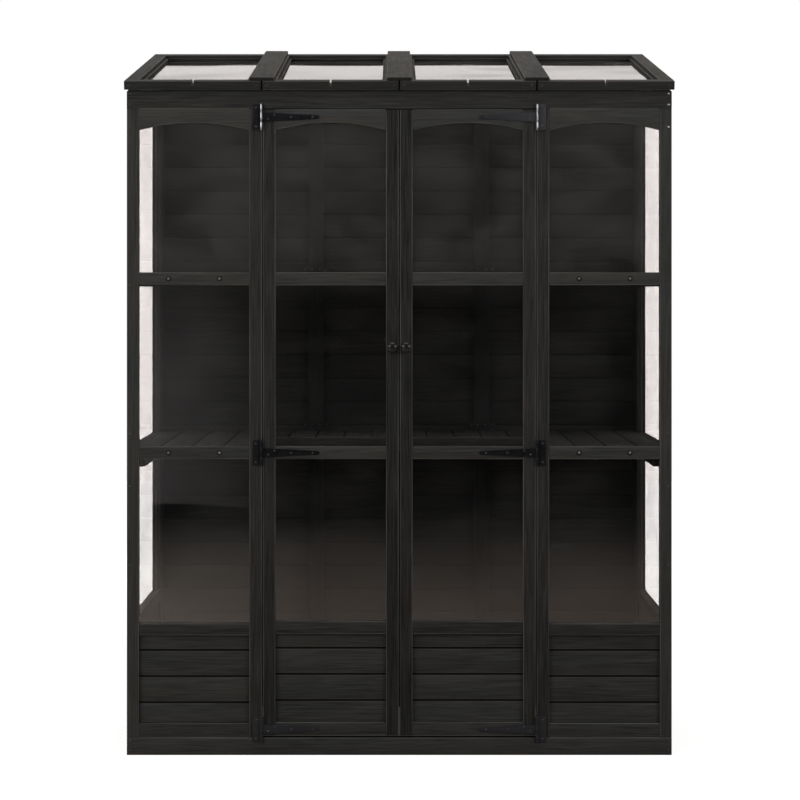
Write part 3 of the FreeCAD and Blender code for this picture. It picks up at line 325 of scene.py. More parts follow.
def coated_iron(name, colour, paler, rough, bump, shine):
    """Black coated ironwork with a faint orange-peel surface, and bright metal on the faces marked for a painted
    highlight.

    The coat is painted paler at the upper right, and a little at the upper left and near the floor: painted sheen.
    """
    material, tree, shader = new_material(name)
    place = object_place(tree)
    peel = noise(tree, place, 900.0, 2.0)
    cloud = noise(tree, place, 45.0, 4.0, 0.6)
    painted_highlight = add_node(tree, "ShaderNodeAttribute", {"attribute_name": "painted_highlight"}).outputs["Fac"]
    right, _, height = add_node(tree, "ShaderNodeSeparateXYZ", None, Vector=place).outputs
    upper = math_node(tree, "MULTIPLY", remap(tree, right, 0.1, 0.4, 0.12, 1.0),
                      remap(tree, height, 1.4, 1.7))
    near_floor = remap(tree, height, 0.2, 0.5, 0.42, 0.0)
    # Painted sheen: the coat is made paler at the upper right and near the floor
    painted_sheen = math_node(tree, "MAXIMUM", upper, near_floor)
    coat = mix_colour(tree, remap(tree, cloud, 0.35, 0.75), colour, paler)
    coat = mix_colour(tree, painted_sheen, coat, PAINTED_SHEEN_COAT)
    # Painted highlight: bright metal on the marked faces of the top knuckles
    feed(tree, mix_colour(tree, painted_highlight, coat, HIGHLIGHT_METAL), shader.inputs["Base Color"])
    feed(tree, painted_highlight, shader.inputs["Metallic"])
    feed(tree, remap(tree, cloud, 0.3, 0.7, rough * 0.85, rough * 1.2), shader.inputs["Roughness"])
    relief = add_node(tree, "ShaderNodeBump", None, Strength=bump, Distance=0.0002, Height=peel)
    feed(tree, relief.outputs[0], shader.inputs["Normal"])
    shader.inputs["Specular IOR Level"].default_value = shine
    return material


def plated_steel(name, colour, duller):
    """Plated screws and keepers with bright and dull patches."""
    material, tree, shader = new_material(name)
    cloud = noise(tree, object_place(tree), 300.0, 3.0)
    feed(tree, mix_colour(tree, remap(tree, cloud, 0.3, 0.7), colour, duller),
         shader.inputs["Base Color"])
    feed(tree, remap(tree, cloud, 0.3, 0.7, 0.24, 0.42), shader.inputs["Roughness"])
    shader.inputs["Metallic"].default_value = 1.0
    return material


def moulded_plastic():
    """Black moulded plastic of the door catches."""
    material, tree, shader = new_material("catch_plastic")
    peel = noise(tree, object_place(tree), 1500.0, 2.0)
    feed(tree, mix_colour(tree, peel, (0.010, 0.010, 0.011, 1), (0.020, 0.020, 0.021, 1)),
         shader.inputs["Base Color"])
    shader.inputs["Roughness"].default_value = 0.42
    relief = add_node(tree, "ShaderNodeBump", None, Strength=0.3, Distance=0.0002, Height=peel)
    feed(tree, relief.outputs[0], shader.inputs["Normal"])
    return material


# Pieces carried over from the frame

def choose(*pieces):
    """Select these objects alone, the first of them active."""
    bpy.ops.object.select_all(action="DESELECT")
    for piece in pieces:
        piece.select_set(True)
    bpy.context.view_layer.objects.active = pieces[0]


def split_solids(mesh):
    """The triangles of a node's mesh, grouped into the solids that they close."""
    spots = [tuple(round(value, 6) for value in vertex.co) for vertex in mesh.vertices]
    faces = [tuple(spots[index] for index in polygon.vertices) for polygon in mesh.polygons]
    beside = defaultdict(list)
    for number, ring in enumerate(faces):
        for start, end in zip(ring, ring[1:] + ring[:1]):
            beside[frozenset((start, end))].append(number)
    seen = set()
    solids = []
    for first in range(len(faces)):
        if first in seen:
            continue
        seen.add(first)
        group = [first]
        for number in group:
            ring = faces[number]
            for start, end in zip(ring, ring[1:] + ring[:1]):
                shared = beside[frozenset((start, end))]
                if len(shared) != 2:
                    continue
                for other in shared:
                    if other not in seen:
                        seen.add(other)
                        group.append(other)
        solids.append([faces[number] for number in group])
    return solids


def corners_of(spots):
    """The lowest and highest corner of some points."""
    return Vector(map(min, zip(*spots))), Vector(map(max, zip(*spots)))


def solid_boxes(node):
    """The lowest and highest corner of each solid in a node."""
    return [corners_of([spot for ring in triangles for spot in ring])
            for triangles in split_solids(frame["nodes"][node].data)]


def joint_axis(name):
    """A point on the axis of a joint of the frame."""
    return Vector(next(joint for joint in frame["joints"] if joint["name"] == name)["pos_m"])


def board_axes(points):
    """Along, across and through a board: each axis, level or sloping, its middle and its span."""
    sure_share = 0.999
    best = None
    for turn in (Matrix.Identity(3), Matrix.Rotation(ROOF_SLOPE, 3, "X")):
        axes = [turn.col[index].copy() for index in range(3)]
        spans = []
        for axis in axes:
            reach = [axis.dot(point) for point in points]
            spans.append((max(reach) - min(reach), (max(reach) + min(reach)) / 2))
        volume = spans[0][0] * spans[1][0] * spans[2][0]
        if best is None or volume < best[0] * sure_share:
            best = (volume, axes, spans)
    _, axes, spans = best
    order = sorted(range(3), key=lambda index: -spans[index][0])
    return [(axes[index], spans[index][1], spans[index][0]) for index in order]


def broad_face(points, axes):
    """A tongued board's axes, with the middle and the span of its broad face inside the joints."""
    along, (across, _, _), (through, depth, thick) = axes
    broad = [across.dot(point) for point in points
             if abs(abs(through.dot(point) - depth) - thick / 2) < 0.1 * MM]
    low, high = min(broad), max(broad)
    axes = [along, (across, (low + high) / 2, high - low), (through, depth, thick)]
    return inside_sides(axes, BOARD_RIM)


def inside_sides(axes, dark_rim):
    """A board's axes with its two long sides left out, so that they and a rim are black as painted shade."""
    along, (across, middle, span), through = axes
    return [along, (across, middle, span - 2 * dark_rim), through]


def outer_paler(node, axes, spot):
    """How much paler the outer side of the back boards is than the inner side, darkened as painted shade."""
    through, depth, _ = axes[2]
    return OUTER_SIDE_PALER if node == "back_boards" and spot.y > depth * through.y else 0.0


def board_tone(node, low, high):
    """How pale a board's stain is, from where the board lies; the back's low tones are painted shade."""
    level = (low.z + high.z) / 2
    off_middle = abs(low.x + high.x) / 2
    corner_stiles_from = 0.6
    meeting_stiles_within = 0.1
    if node in ("front_rails", "door_left_rails", "door_right_rails"):
        return next(tone for ceiling, tone in RAIL_TONES if level < ceiling)
    if node == "front_stiles" and off_middle > corner_stiles_from:
        return OUTER_STILE_TONE
    if node in ("door_left_stiles", "door_right_stiles") and off_middle < meeting_stiles_within:
        return MEETING_STILE_TONE
    return next((tone for ending, tone in TONES.items() if node.endswith(ending)), PLAIN_TONE)


def painted_highlight_spot(node, spot):
    """Whether a spot is on the front of a knuckle of the doors' top hinges, where bright metal is laid as a
    painted highlight.
    """
    top_hinges_from = 1.6
    highlight_half = 1.7 * MM
    highlight_deep = 8 * MM
    if not node.endswith(("straps", "plates", "pins")) or spot.z < top_hinges_from:
        return False
    axis = joint_axis("door_left_hinge" if spot.x < 0 else "door_right_hinge")
    return abs(spot.x - axis.x) < highlight_half and -highlight_deep < spot.y - axis.y < 0


def eased_solid(triangles, edge_width, segments):
    """A solid with plain faces and eased edges; returns it, the eased faces and its corners."""
    flat_within = math.radians(0.5)
    sharp_from = math.radians(28)
    solid = bmesh.new()
    corners = {}
    for ring in triangles:
        verts = []
        for spot in ring:
            if spot not in corners:
                corners[spot] = solid.verts.new(spot)
            verts.append(corners[spot])
        if len(set(verts)) == 3:
            solid.faces.new(verts)
    bmesh.ops.dissolve_limit(solid, angle_limit=flat_within, verts=solid.verts[:],
                             edges=solid.edges[:])
    sharp = [edge for edge in solid.edges
             if edge.is_manifold and edge.calc_face_angle(0) > sharp_from]
    eased = bmesh.ops.bevel(solid, geom=sharp, offset=edge_width, offset_type="OFFSET",
                            segments=segments, profile=0.5, affect="EDGES", clamp_overlap=True)
    return solid, set(eased["faces"]), [Vector(spot) for spot in corners]


def grain_axes(node, points):
    """A board's axes, inside the black of its joints if it has them."""
    axes = board_axes(points)
    if node.endswith("boards"):
        return broad_face(points, axes)
    if node.endswith("slats"):
        return inside_sides(axes, SLAT_RIM)
    return axes


def dress(node, material, edge_width, segments):
    """A finished copy of a node: plain faces, eased edges, and each board's own grain and tone."""
    smooth_within = math.radians(25)
    piece_mesh = bpy.data.meshes.new(f"{node}_finished")
    whole = bmesh.new()
    place_layer, half_layer, shift_layer = [whole.verts.layers.float_vector.new(label)
                                            for label in ("place", "half", "shift")]
    tone_layer = whole.verts.layers.float.new("tone")
    edge_layer = whole.faces.layers.float.new("edge")
    highlight_layer = whole.faces.layers.float.new("painted_highlight")
    for triangles in split_solids(frame["nodes"][node].data):
        solid, eased, points = eased_solid(triangles, edge_width, segments)
        axes = grain_axes(node, points)
        half = Vector(span / 2 for _, _, span in axes)
        shift = Vector(chance.uniform(*reach) for reach in GRAIN_SHIFTS)
        tone = board_tone(node, *corners_of(points)) + chance.uniform(-TONE_SPREAD, TONE_SPREAD)
        added = {}
        for vert in solid.verts:
            new = whole.verts.new(vert.co)
            new[place_layer] = Vector(axis.dot(vert.co) - middle for axis, middle, _ in axes)
            new[half_layer] = half
            new[shift_layer] = shift
            new[tone_layer] = tone + outer_paler(node, axes, vert.co)
            added[vert] = new
        for face in solid.faces:
            new = whole.faces.new([added[vert] for vert in face.verts])
            new[edge_layer] = 1.0 if face in eased else 0.0
            # Marks the faces that get a painted highlight
            new[highlight_layer] = 1.0 if painted_highlight_spot(node, face.calc_center_median()) else 0.0
        solid.free()
    whole.to_mesh(piece_mesh)
    whole.free()
    piece = bpy.data.objects.new(f"{node}_finished", piece_mesh)
    bpy.context.scene.collection.objects.link(piece)
    piece_mesh.materials.append(material)
    choose(piece)
    bpy.ops.object.shade_smooth_by_angle(angle=smooth_within)
    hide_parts(node)
    SLOTS[node]
    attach(piece, NODE_BODY[node])


def finish_of(node):
    """A node's material, and the width and the segments of its eased edges."""
    slot = SLOTS[node]
    if slot != "stained_wood":
        finish = "butt_iron" if slot == "black_iron" and "leaves" in node else slot
        return MATERIALS[finish], *EASING[slot]
    # The back gets a flatter copy of the stain with dark arrises, as painted shade
    if node.startswith("back_"):
        return MATERIALS["shaded_inside_wood"], *EASING["boards"]
    kind = next((kind for kind in ("boards", "beads") if node.endswith(kind)), "frames")
    return MATERIALS[slot], *EASING[kind]


def dress_all():
    """Every node of the frame, finished by what it is made of."""
    for node in frame["nodes"]:
        if SLOTS[node] == "black_knob":
            turned_knob(node)
        else:
            dress(node, *finish_of(node))


# Fittings, modelled one by one

def select_front(piece):
    """Select the faces of the edited mesh that look to the front."""
    front_below = -0.9
    mesh = bmesh.from_edit_mesh(piece.data)
    for face in mesh.faces:
        face.select_set(False)
    for face in mesh.faces:
        face.select_set(face.normal.y < front_below)
    bmesh.update_edit_mesh(piece.data)


def settle(piece, smooth):
    """Turn a piece's faces outwards, put its place in its mesh, and smooth up to an angle."""
    bpy.ops.object.mode_set(mode="EDIT")
    bpy.ops.mesh.select_all(action="SELECT")
    bpy.ops.mesh.normals_make_consistent(inside=False)
    bpy.ops.object.mode_set(mode="OBJECT")
    choose(piece)
    bpy.ops.object.transform_apply(location=True, rotation=True, scale=True)
    bpy.ops.object.shade_smooth_by_angle(angle=math.radians(smooth))


def knob_rings(head):
    """A foot, a waisted neck and a round head: each ring's share of the reach and its radius."""
    foot = 0.6 * head
    neck = 0.4 * head
    foot_end, neck_start, neck_end, head_start = 0.06, 0.22, 0.42, 0.66
    steps = 5
    quarter = [math.pi / 2 * step / steps for step in range(1, steps + 1)]
    crown_steps = 2 * steps
    crown = [math.pi / 2 * step / (crown_steps + 0.8) for step in range(1, crown_steps + 1)]
    rings = [(0.0, foot), (foot_end, foot)]
    rings += [(foot_end + (neck_start - foot_end) * math.sin(turn),
               neck + (foot - neck) * math.cos(turn) ** 2) for turn in quarter]
    rings += [(neck_end + (head_start - neck_end) * math.sin(turn) ** 2,
               neck + (head - neck) * (1 - math.cos(turn))) for turn in quarter]
    rings += [(head_start + (1 - head_start) * math.sin(turn), head * math.cos(turn))
              for turn in crown]
    rings.append((1.0, 0.02 * head))
    return rings


def turned_knob(node):
    """A turned mushroom knob, drawn out ring by ring from its foot."""
    low, high = [Vector(corner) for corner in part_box(node)]
    reach = high.y - low.y
    centre = Vector(((low.x + high.x) / 2, high.y, (low.z + high.z) / 2))
    rings = knob_rings((high.x - low.x) / 2)
    foot = rings[0][1]
    bpy.ops.object.select_all(action="DESELECT")
    bpy.ops.mesh.primitive_circle_add(vertices=48, radius=foot, fill_type="NGON", location=centre,
                                      rotation=(math.radians(90), 0, 0))
    knob = bpy.context.object
    knob.name = f"{node}_finished"
    bpy.ops.object.transform_apply(location=True, rotation=True, scale=True)
    bpy.ops.object.mode_set(mode="EDIT")
    bpy.ops.mesh.select_all(action="SELECT")
    for (start, radius), (end, next_radius) in zip(rings, rings[1:]):
        forward = (end - start) * reach
        bpy.ops.mesh.extrude_region_move(TRANSFORM_OT_translate={"value": (0, -forward, 0)})
        grow = next_radius / radius
        bpy.ops.transform.resize(value=(grow, 1, grow), center_override=centre)
    settle(knob, smooth=50)
    knob.data.materials.append(MATERIALS["black_knob"])
    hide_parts(node)
    SLOTS[node]
    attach(knob, NODE_BODY[node])


def stepped_disc(name, sides, radius, base, steps):
    """A disc that faces the front, its seat at the origin; each step is an inset and a rise."""
    bpy.ops.object.select_all(action="DESELECT")
    bpy.ops.mesh.primitive_cylinder_add(vertices=sides, radius=radius, depth=base,
                                        location=(0, -base / 2, 0),
                                        rotation=(math.radians(90), 0, 0))
    disc = bpy.context.object
    disc.name = name
    bpy.ops.object.transform_apply(location=True, rotation=True, scale=True)
    bpy.ops.object.mode_set(mode="EDIT")
    select_front(disc)
    for inset, rise in steps:
        bpy.ops.mesh.inset(thickness=inset, depth=rise)
    settle(disc, smooth=45)
    return disc


def screw_head(name, radius, height, recess):
    """A domed screw head with a cross recess; it faces the front, its seat at the origin."""
    dome = [(0.16 * radius, 0.32 * height), (0.2 * radius, 0.18 * height),
            (0.25 * radius, 0.1 * height)]
    blade_deep = 0.9 * height
    blade_thick = 0.24 * recess
    head = stepped_disc(name, sides=20, radius=radius, base=0.4 * height, steps=dome)
    for turn in (0, 90):
        bpy.ops.object.select_all(action="DESELECT")
        bpy.ops.mesh.primitive_cube_add(size=1, location=(0, -height, 0),
                                        rotation=(0, math.radians(turn), 0))
        blade = bpy.context.object
        blade.scale = (recess, blade_deep, blade_thick)
        bpy.ops.object.transform_apply(location=True, rotation=True, scale=True)
        cross = head.modifiers.new("recess", "BOOLEAN")
        cross.operation = "DIFFERENCE"
        cross.solver = "EXACT"
        cross.object = blade
        choose(head)
        bpy.ops.object.modifier_apply(modifier=cross.name)
        bpy.data.objects.remove(blade)
    return head


def dished_washer(name, radius, thick):
    """A thin washer with a rounded rim, a little dished; it faces the front."""
    dish = [(0.06 * radius, 0.35 * thick), (0.08 * radius, 0.15 * thick),
            (0.3 * radius, -0.3 * thick)]
    return stepped_disc(name, sides=24, radius=radius, base=0.5 * thick, steps=dish)


def fit_copies(name, master, places, body, finish="blackened_steel"):
    """Copies of a fitting at two or more places, each turned to face its own way, as one piece."""
    copies = []
    for spot, facing in places:
        turn = FRONT.rotation_difference(Vector(facing)).to_matrix().to_4x4()
        spin = Matrix.Rotation(chance.uniform(0, math.tau), 4, "Y")
        copy = bpy.data.objects.new(name, master.data.copy())
        copy.data.transform(Matrix.Translation(spot) @ turn @ spin)
        bpy.context.scene.collection.objects.link(copy)
        copies.append(copy)
    choose(*copies)
    bpy.ops.object.join()
    piece = copies[0]
    piece.name = name
    piece.data.materials.clear()
    piece.data.materials.append(MATERIALS[finish])
    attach(piece, body)


def strap_screws(screw):
    """Screws through the straps of each door and through the hinge plates beside it."""
    strap_thick = 2.5 * MM
    plate_thick = 2 * MM
    from_plate_edge = 9 * MM
    on_plate = (-25 * MM, 25 * MM)
    from_axis = ((18 * MM, -5 * MM), (35 * MM, 6 * MM), (80 * MM, 0), (138 * MM, 0))
    for hand, inward in (("left", 1), ("right", -1)):
        node = f"door_{hand}_hinge_straps"
        axis = joint_axis(f"door_{hand}_hinge")
        places = [((axis.x + inward * reach, high.y - strap_thick, (low.z + high.z) / 2 + lift),
                   FRONT)
                  for low, high in solid_boxes(node) for reach, lift in from_axis]
        fit_copies(f"door_{hand}_strap_screws", screw, places, NODE_BODY[node])
    places = []
    for low, high in solid_boxes("strap_hinge_plates"):
        side = math.copysign(1, low.x)
        outer = side * max(abs(low.x), abs(high.x))
        places += [((outer - side * from_plate_edge, high.y - plate_thick,
                     (low.z + high.z) / 2 + lift), FRONT) for lift in on_plate]
    fit_copies("hinge_plate_screws", screw, places, NODE_BODY["strap_hinge_plates"])


def butt_screws(screw):
    """Four screws in each leaf of the butt hinges, in a row near its free edge."""
    along = (-32 * MM, -12 * MM, 12 * MM, 32 * MM)
    leaf = 1.6 * MM
    from_edge = 8 * MM
    roof_hinges_from = joint_axis("skylight_left_hinge").y - 10 * MM
    places = []
    for low, high in solid_boxes("butt_hinge_leaves"):
        middle = (low.x + high.x) / 2
        if high.y < roof_hinges_from:
            row, facing = (high.y - leaf, high.z - from_edge), FRONT
        else:
            row, facing = (low.y + leaf, low.z + from_edge), BACK
        places += [((middle + step, *row), facing) for step in along]
    fit_copies("butt_hinge_screws", screw, places, NODE_BODY["butt_hinge_leaves"])
    for shelf in ("shelf_lower", "shelf_upper"):
        node = f"{shelf}_hinge_leaves"
        places = [(((low.x + high.x) / 2 + step, low.y + from_edge, low.z + leaf), UP)
                  for low, high in solid_boxes(node) for step in along]
        fit_copies(f"{shelf}_hinge_screws", screw, places, NODE_BODY[node])
    turn = Matrix.Rotation(ROOF_SLOPE - math.radians(90), 3, "X")
    from_pin = turn @ Vector((0, -12 * MM, -1.9 * MM))
    for skylight in ("skylight_left", "skylight_right"):
        node = f"{skylight}_hinge_leaves"
        axis = joint_axis(f"{skylight}_hinge")
        places = [(Vector(((low.x + high.x) / 2 + step, axis.y, axis.z)) + from_pin, turn @ UP)
                  for low, high in solid_boxes(node) for step in along]
        fit_copies(f"{skylight}_hinge_screws", screw, places, NODE_BODY[node])


def shelf_rail_screws(screw, shadow_washer):
    """Two pan heads in each fixed panel's rails where the shelf bearers are fixed, on painted shadow rings."""
    shelf_rails_from = 0.6
    along_rail = (0.27, 0.73)
    washer_dish = 0.7 * MM
    places = []
    for low, high in solid_boxes("front_rails"):
        level = (low.z + high.z) / 2
        if shelf_rails_from < level:
            places += [((low.x + share * (high.x - low.x), low.y, level), FRONT)
                       for share in along_rail]
    # The dark washers are a painted shadow ring round each pan head
    fit_copies("shelf_rail_shadow_rings", shadow_washer, places, "cabinet", "butt_iron")
    places = [(Vector(spot) + washer_dish * FRONT, facing) for spot, facing in places]
    fit_copies("shelf_rail_screws", screw, places, "cabinet", "dull_steel")


def corner_screws(screw):
    """Small heads up the corner stiles and in the top and base rails' ends; the top right ones are a painted
    glint.
    """
    from_side = 8.5 * MM
    low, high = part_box("front_top_rail")
    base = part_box("front_base_rail")[0].z
    top = [high.z - 8 * MM, low.z + 10 * MM, low.z - 50 * MM]
    down_stile = [1.267, 0.867, 0.726, 0.513]
    below = down_stile + [base + 14 * MM, base + 39 * MM]
    left, right = low.x + from_side, high.x - from_side
    dark = [((left, low.y, level), FRONT) for level in top + below]
    dark += [((right, low.y, level), FRONT) for level in below]
    # The top right heads are bright zinc: a painted glint
    bright = [((right, low.y, level), FRONT) for level in top]
    fit_copies("corner_screws", screw, dark, "cabinet")
    fit_copies("corner_screws_painted_glint", screw, bright, "cabinet", "zinc_plate")


def roof_rail_screws(screw):
    """A dark head near each end of every roof panel's front rail."""
    rail_high = 24 * MM
    from_end = 12 * MM
    rail_long_from = 0.2
    middle = Vector((0, math.sin(ROOF_SLOPE), math.cos(ROOF_SLOPE))) * rail_high / 2
    facing = (0, -math.cos(ROOF_SLOPE), -math.sin(ROOF_SLOPE))
    front_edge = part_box("roof_frames")[0].y + 1 * MM
    for node in ("roof_frames", "skylight_left_frame", "skylight_right_frame"):
        places = []
        for low, high in solid_boxes(node):
            if low.y < front_edge and high.x - low.x > rail_long_from:
                places += [(Vector((end, low.y, low.z)) + middle, facing)
                           for end in (low.x + from_end, high.x - from_end)]
        fit_copies(f"{node}_screws", screw, places, NODE_BODY[node])


# The studio

def straight_through(tree, path):
    """1 for a ray that comes straight through a sheet, with no mirror on its way."""
    return math_node(tree, "MULTIPLY", path.outputs["Is Transmission Ray"],
                     math_node(tree, "LESS_THAN", path.outputs["Glossy Depth"], 0.5))


def studio_world():
    """Plain light all round, with a white backdrop behind the cabinet.

    The camera and what is seen straight through a sheet get the white backdrop, stronger
    straight behind the cabinet, where the side sheets are seen nearly edge on. Reflections
    get the backdrop towards the back, and a dim surround with a paler side towards the front.
    """
    world = bpy.data.worlds.new("studio")
    world.use_nodes = True
    tree = world.node_tree
    ambient = tree.nodes["Background"]
    ambient.inputs["Color"].default_value = WHITE
    ambient.inputs["Strength"].default_value = 0.45
    toward = add_node(tree, "ShaderNodeTexCoord").outputs["Generated"]
    right, back, up = add_node(tree, "ShaderNodeSeparateXYZ", None, Vector=toward).outputs
    uneven = remap(tree, noise(tree, toward, 7.0, 3.0), 0.35, 0.65, 0.4, 1.6)
    over_floor = remap(tree, up, -0.004, 0.016, 0.008, 0.11)
    beside = math_node(tree, "MULTIPLY", remap(tree, right, -0.05, -0.11, 0.0, 0.22),
                       remap(tree, up, -0.01, 0.02, 1.0, 0.35))
    dim = math_node(tree, "MULTIPLY", math_node(tree, "ADD", over_floor, beside), uneven)
    bright = math_node(tree, "MULTIPLY", remap(tree, right, -0.4, 0.4, 1.0, 0.82),
                       remap(tree, up, 0.35, 0.95, 1.0, 0.55))
    mirrored = mix_colour(tree, remap(tree, back, -0.4, 0.15), dim, bright)
    edge_on = remap(tree, right, -0.1, 0.1, 3.7, 3.4)
    behind = remap(tree, back, 0.93, 0.985, 1.0, edge_on)
    path = add_node(tree, "ShaderNodeLightPath")
    level = mix_colour(tree, straight_through(tree, path), mirrored, behind)
    warm = mix_colour(tree, 1.0, level, (1, 0.96, 0.945, 1), "MULTIPLY")
    shown = mix_colour(tree, path.outputs["Is Camera Ray"], warm, WHITE)
    backdrop = add_node(tree, "ShaderNodeBackground", None, Color=shown, Strength=1.0)
    seen = math_node(tree, "MAXIMUM", path.outputs["Is Camera Ray"],
                     math_node(tree, "MAXIMUM", path.outputs["Is Transmission Ray"],
                               path.outputs["Is Glossy Ray"]))
    both = add_node(tree, "ShaderNodeMixShader", None, _0=seen, _1=ambient.outputs[0],
                    _2=backdrop.outputs[0])
    feed(tree, both.outputs[0], tree.nodes["World Output"].inputs[0])
    bpy.context.scene.world = world


def under_cabinet(tree, right, back):
    """1 for a point of the floor under the cabinet and 0 beside it, with a soft edge."""
    soft_edge = 10 * MM
    foot_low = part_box("front_base_rail")[0]
    foot_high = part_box("back_boards")[1]
    within = []
    for value, low, high in ((right, foot_low.x, foot_high.x), (back, foot_low.y, foot_high.y)):
        off_middle = math_node(tree, "ABSOLUTE",
                               math_node(tree, "SUBTRACT", value, (low + high) / 2))
        inside = math_node(tree, "SUBTRACT", (high - low) / 2, off_middle)
        within.append(remap(tree, inside, 0.0, soft_edge))
    return math_node(tree, "MINIMUM", *within)


def floor_paper():
    """Pale paper, white to the camera but for the shade inside the cabinet.

    Straight through a sheet it looks as it does to the camera, and brighter towards the back.
    Reflections and light from it take its warm tone, which is dark far in front.
    """
    closed_glow = 0.03
    back_glow = 2.4
    material, tree, shader = new_material("floor_paper")
    place = object_place(tree)
    right, back, _ = add_node(tree, "ShaderNodeSeparateXYZ", None, Vector=place).outputs
    warm = mix_colour(tree, remap(tree, right, -0.95, -0.35), (0.82, 0.73, 0.65, 1),
                      (0.43, 0.36, 0.31, 1))
    paper = mix_colour(tree, remap(tree, back, -6.3, -2.8), (0.02, 0.02, 0.02, 1), warm)
    feed(tree, paper, shader.inputs["Base Color"])
    shader.inputs["Roughness"].default_value = 0.9
    shader.inputs["Specular IOR Level"].default_value = 0.1
    shade = under_cabinet(tree, right, back)
    path = add_node(tree, "ShaderNodeLightPath")
    away = add_node(tree, "ShaderNodeVectorMath", {"operation": "LENGTH"}, _0=place).outputs[1]
    glancing = math_node(tree, "MULTIPLY", path.outputs["Is Transmission Ray"],
                         remap(tree, back, 0.4, 0.6))
    open_glow = math_node(tree, "ADD", remap(tree, away, 1.5, 4.0, 0.84, 1.0),
                          math_node(tree, "MULTIPLY", glancing, back_glow))
    strength = math_node(tree, "MULTIPLY_ADD", shade,
                         math_node(tree, "SUBTRACT", closed_glow, open_glow), open_glow)
    glow = add_node(tree, "ShaderNodeEmission", None, Color=WHITE, Strength=strength)
    matt = add_node(tree, "ShaderNodeBsdfDiffuse", None,
                    Color=mix_colour(tree, shade, (0.24, 0.24, 0.24, 1), (0.04, 0.04, 0.04, 1)))
    shown = add_node(tree, "ShaderNodeAddShader", None, _0=glow.outputs[0], _1=matt.outputs[0])
    plain = math_node(tree, "MAXIMUM", path.outputs["Is Camera Ray"],
                      straight_through(tree, path))
    both = add_node(tree, "ShaderNodeMixShader", None, _0=plain, _1=shader.outputs[0],
                    _2=shown.outputs[0])
    feed(tree, both.outputs[0], tree.nodes["Material Output"].inputs[0])
    return material


def studio_floor():
    """A level floor that reaches far in front and behind."""
    front_reach = 7.0
    back_reach = 8.0
    wide = 12
    bpy.ops.object.select_all(action="DESELECT")
    bpy.ops.mesh.primitive_plane_add(size=1, location=(0, (back_reach - front_reach) / 2, 0))
    floor = bpy.context.object
    floor.name = "studio_floor"
    floor.scale = (wide, back_reach + front_reach, 1)
    bpy.ops.object.transform_apply(location=True, rotation=False, scale=True)
    floor.data.materials.append(floor_paper())


def softbox(name, place, target, width, height, power, colour=(1, 1, 1)):
    """A large soft lamp that looks at a point."""
    lamp = bpy.data.lights.new(name, "AREA")
    lamp.color = colour
    lamp.shape = "RECTANGLE"
    lamp.size = width
    lamp.size_y = height
    lamp.energy = power
    holder = bpy.data.objects.new(name, lamp)
    holder.location = place
    holder.rotation_euler = (Vector(target) - Vector(place)).to_track_quat("-Z", "Y").to_euler()
    bpy.context.scene.collection.objects.link(holder)


def studio_lamps():
    """Two soft lamps in front, one behind and a warm one above."""
    middle = (0, 0, 1.0)
    softbox("lamp_left", (-4.0, -3.8, 2.8), middle, 2.4, 2.4, power=132)
    softbox("lamp_right", (4.0, -3.8, 2.6), middle, 2.4, 2.4, power=124)
    softbox("lamp_back", (0, 4.4, 1.1), middle, 1.4, 1.6, power=70)
    softbox("lamp_top", (0, -0.6, 4.6), middle, 3.0, 3.0, power=124, colour=(1, 0.90, 0.82))


def studio_camera():
    """The photograph's view: level, far in front, a little over the middle of the cabinet."""
    camera = bpy.data.cameras.new("camera")
    camera.lens = 96.2
    camera.sensor_width = 36
    camera.shift_x = 0.006
    camera.shift_y = -0.135
    holder = bpy.data.objects.new("camera", camera)
    holder.location = (-0.011, -6.13, 1.25)
    holder.rotation_euler = (math.radians(90), 0, 0)
    bpy.context.scene.collection.objects.link(holder)
    bpy.context.scene.camera = holder
    bpy.context.scene.view_settings.view_transform = "Standard"


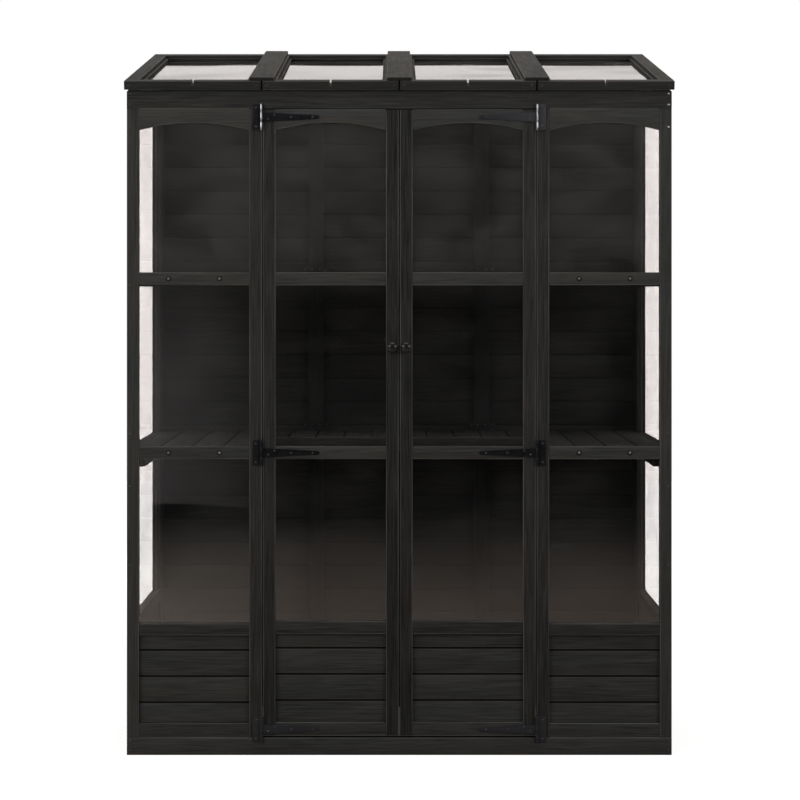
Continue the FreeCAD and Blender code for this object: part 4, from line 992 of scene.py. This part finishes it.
GRAIN = timber_grain()
MATERIALS = {
    "stained_wood": stained_timber(
        "stained_timber", GRAIN, dark=(0.0020, 0.0021, 0.0021, 1),
        light=(0.0268, 0.0290, 0.0293, 1), warm=(0.0308, 0.0299, 0.0273, 1),
        rubbed=(0.072, 0.070, 0.066, 1), contrast=1.0),
    # A flatter copy of the stain with dark arrises for the back: painted shade inside
    "shaded_inside_wood": stained_timber(
        "shaded_inside_timber", GRAIN, dark=(0.0050, 0.0050, 0.0050, 1),
        light=(0.0290, 0.0290, 0.0285, 1), warm=(0.0310, 0.0295, 0.0270, 1),
        rubbed=(0.022, 0.022, 0.021, 1), contrast=0.5),
    "clear_sheet": clear_sheet(),
    "black_iron": coated_iron(
        "black_iron", colour=(0.0025, 0.0028, 0.0035, 1), paler=(0.0050, 0.0054, 0.0068, 1),
        rough=0.30, bump=0.05, shine=0.10),
    "butt_iron": coated_iron(
        "butt_iron", colour=(0.003, 0.003, 0.003, 1), paler=(0.007, 0.007, 0.007, 1),
        rough=0.5, bump=0.1, shine=0.14),
    "black_knob": coated_iron(
        "black_knob", colour=(0.003, 0.003, 0.003, 1), paler=(0.007, 0.007, 0.007, 1),
        rough=0.26, bump=0.05, shine=0.25),
    "blackened_steel": plated_steel(
        "blackened_steel", colour=(0.075, 0.075, 0.08, 1), duller=(0.04, 0.04, 0.042, 1)),
    "dull_steel": plated_steel(
        "dull_steel", colour=(0.26, 0.26, 0.27, 1), duller=(0.14, 0.14, 0.15, 1)),
    "zinc_plate": plated_steel(
        "zinc_plate", colour=(0.52, 0.53, 0.55, 1), duller=(0.32, 0.33, 0.35, 1)),
    "catch_plastic": moulded_plastic(),
}
dress_all()
pan_head = screw_head("pan_head", radius=3.4 * MM, height=2.4 * MM, recess=4.4 * MM)
shadow_washer = dished_washer("shadow_washer", radius=7.0 * MM, thick=1.2 * MM)
small_head = screw_head("small_head", radius=2.6 * MM, height=1.2 * MM, recess=3.2 * MM)
shelf_rail_screws(pan_head, shadow_washer)
strap_screws(small_head)
butt_screws(small_head)
corner_screws(small_head)
roof_rail_screws(small_head)
for master in (pan_head, shadow_washer, small_head):
    bpy.data.objects.remove(master)
studio_world()
studio_floor()
studio_lamps()
studio_camera()
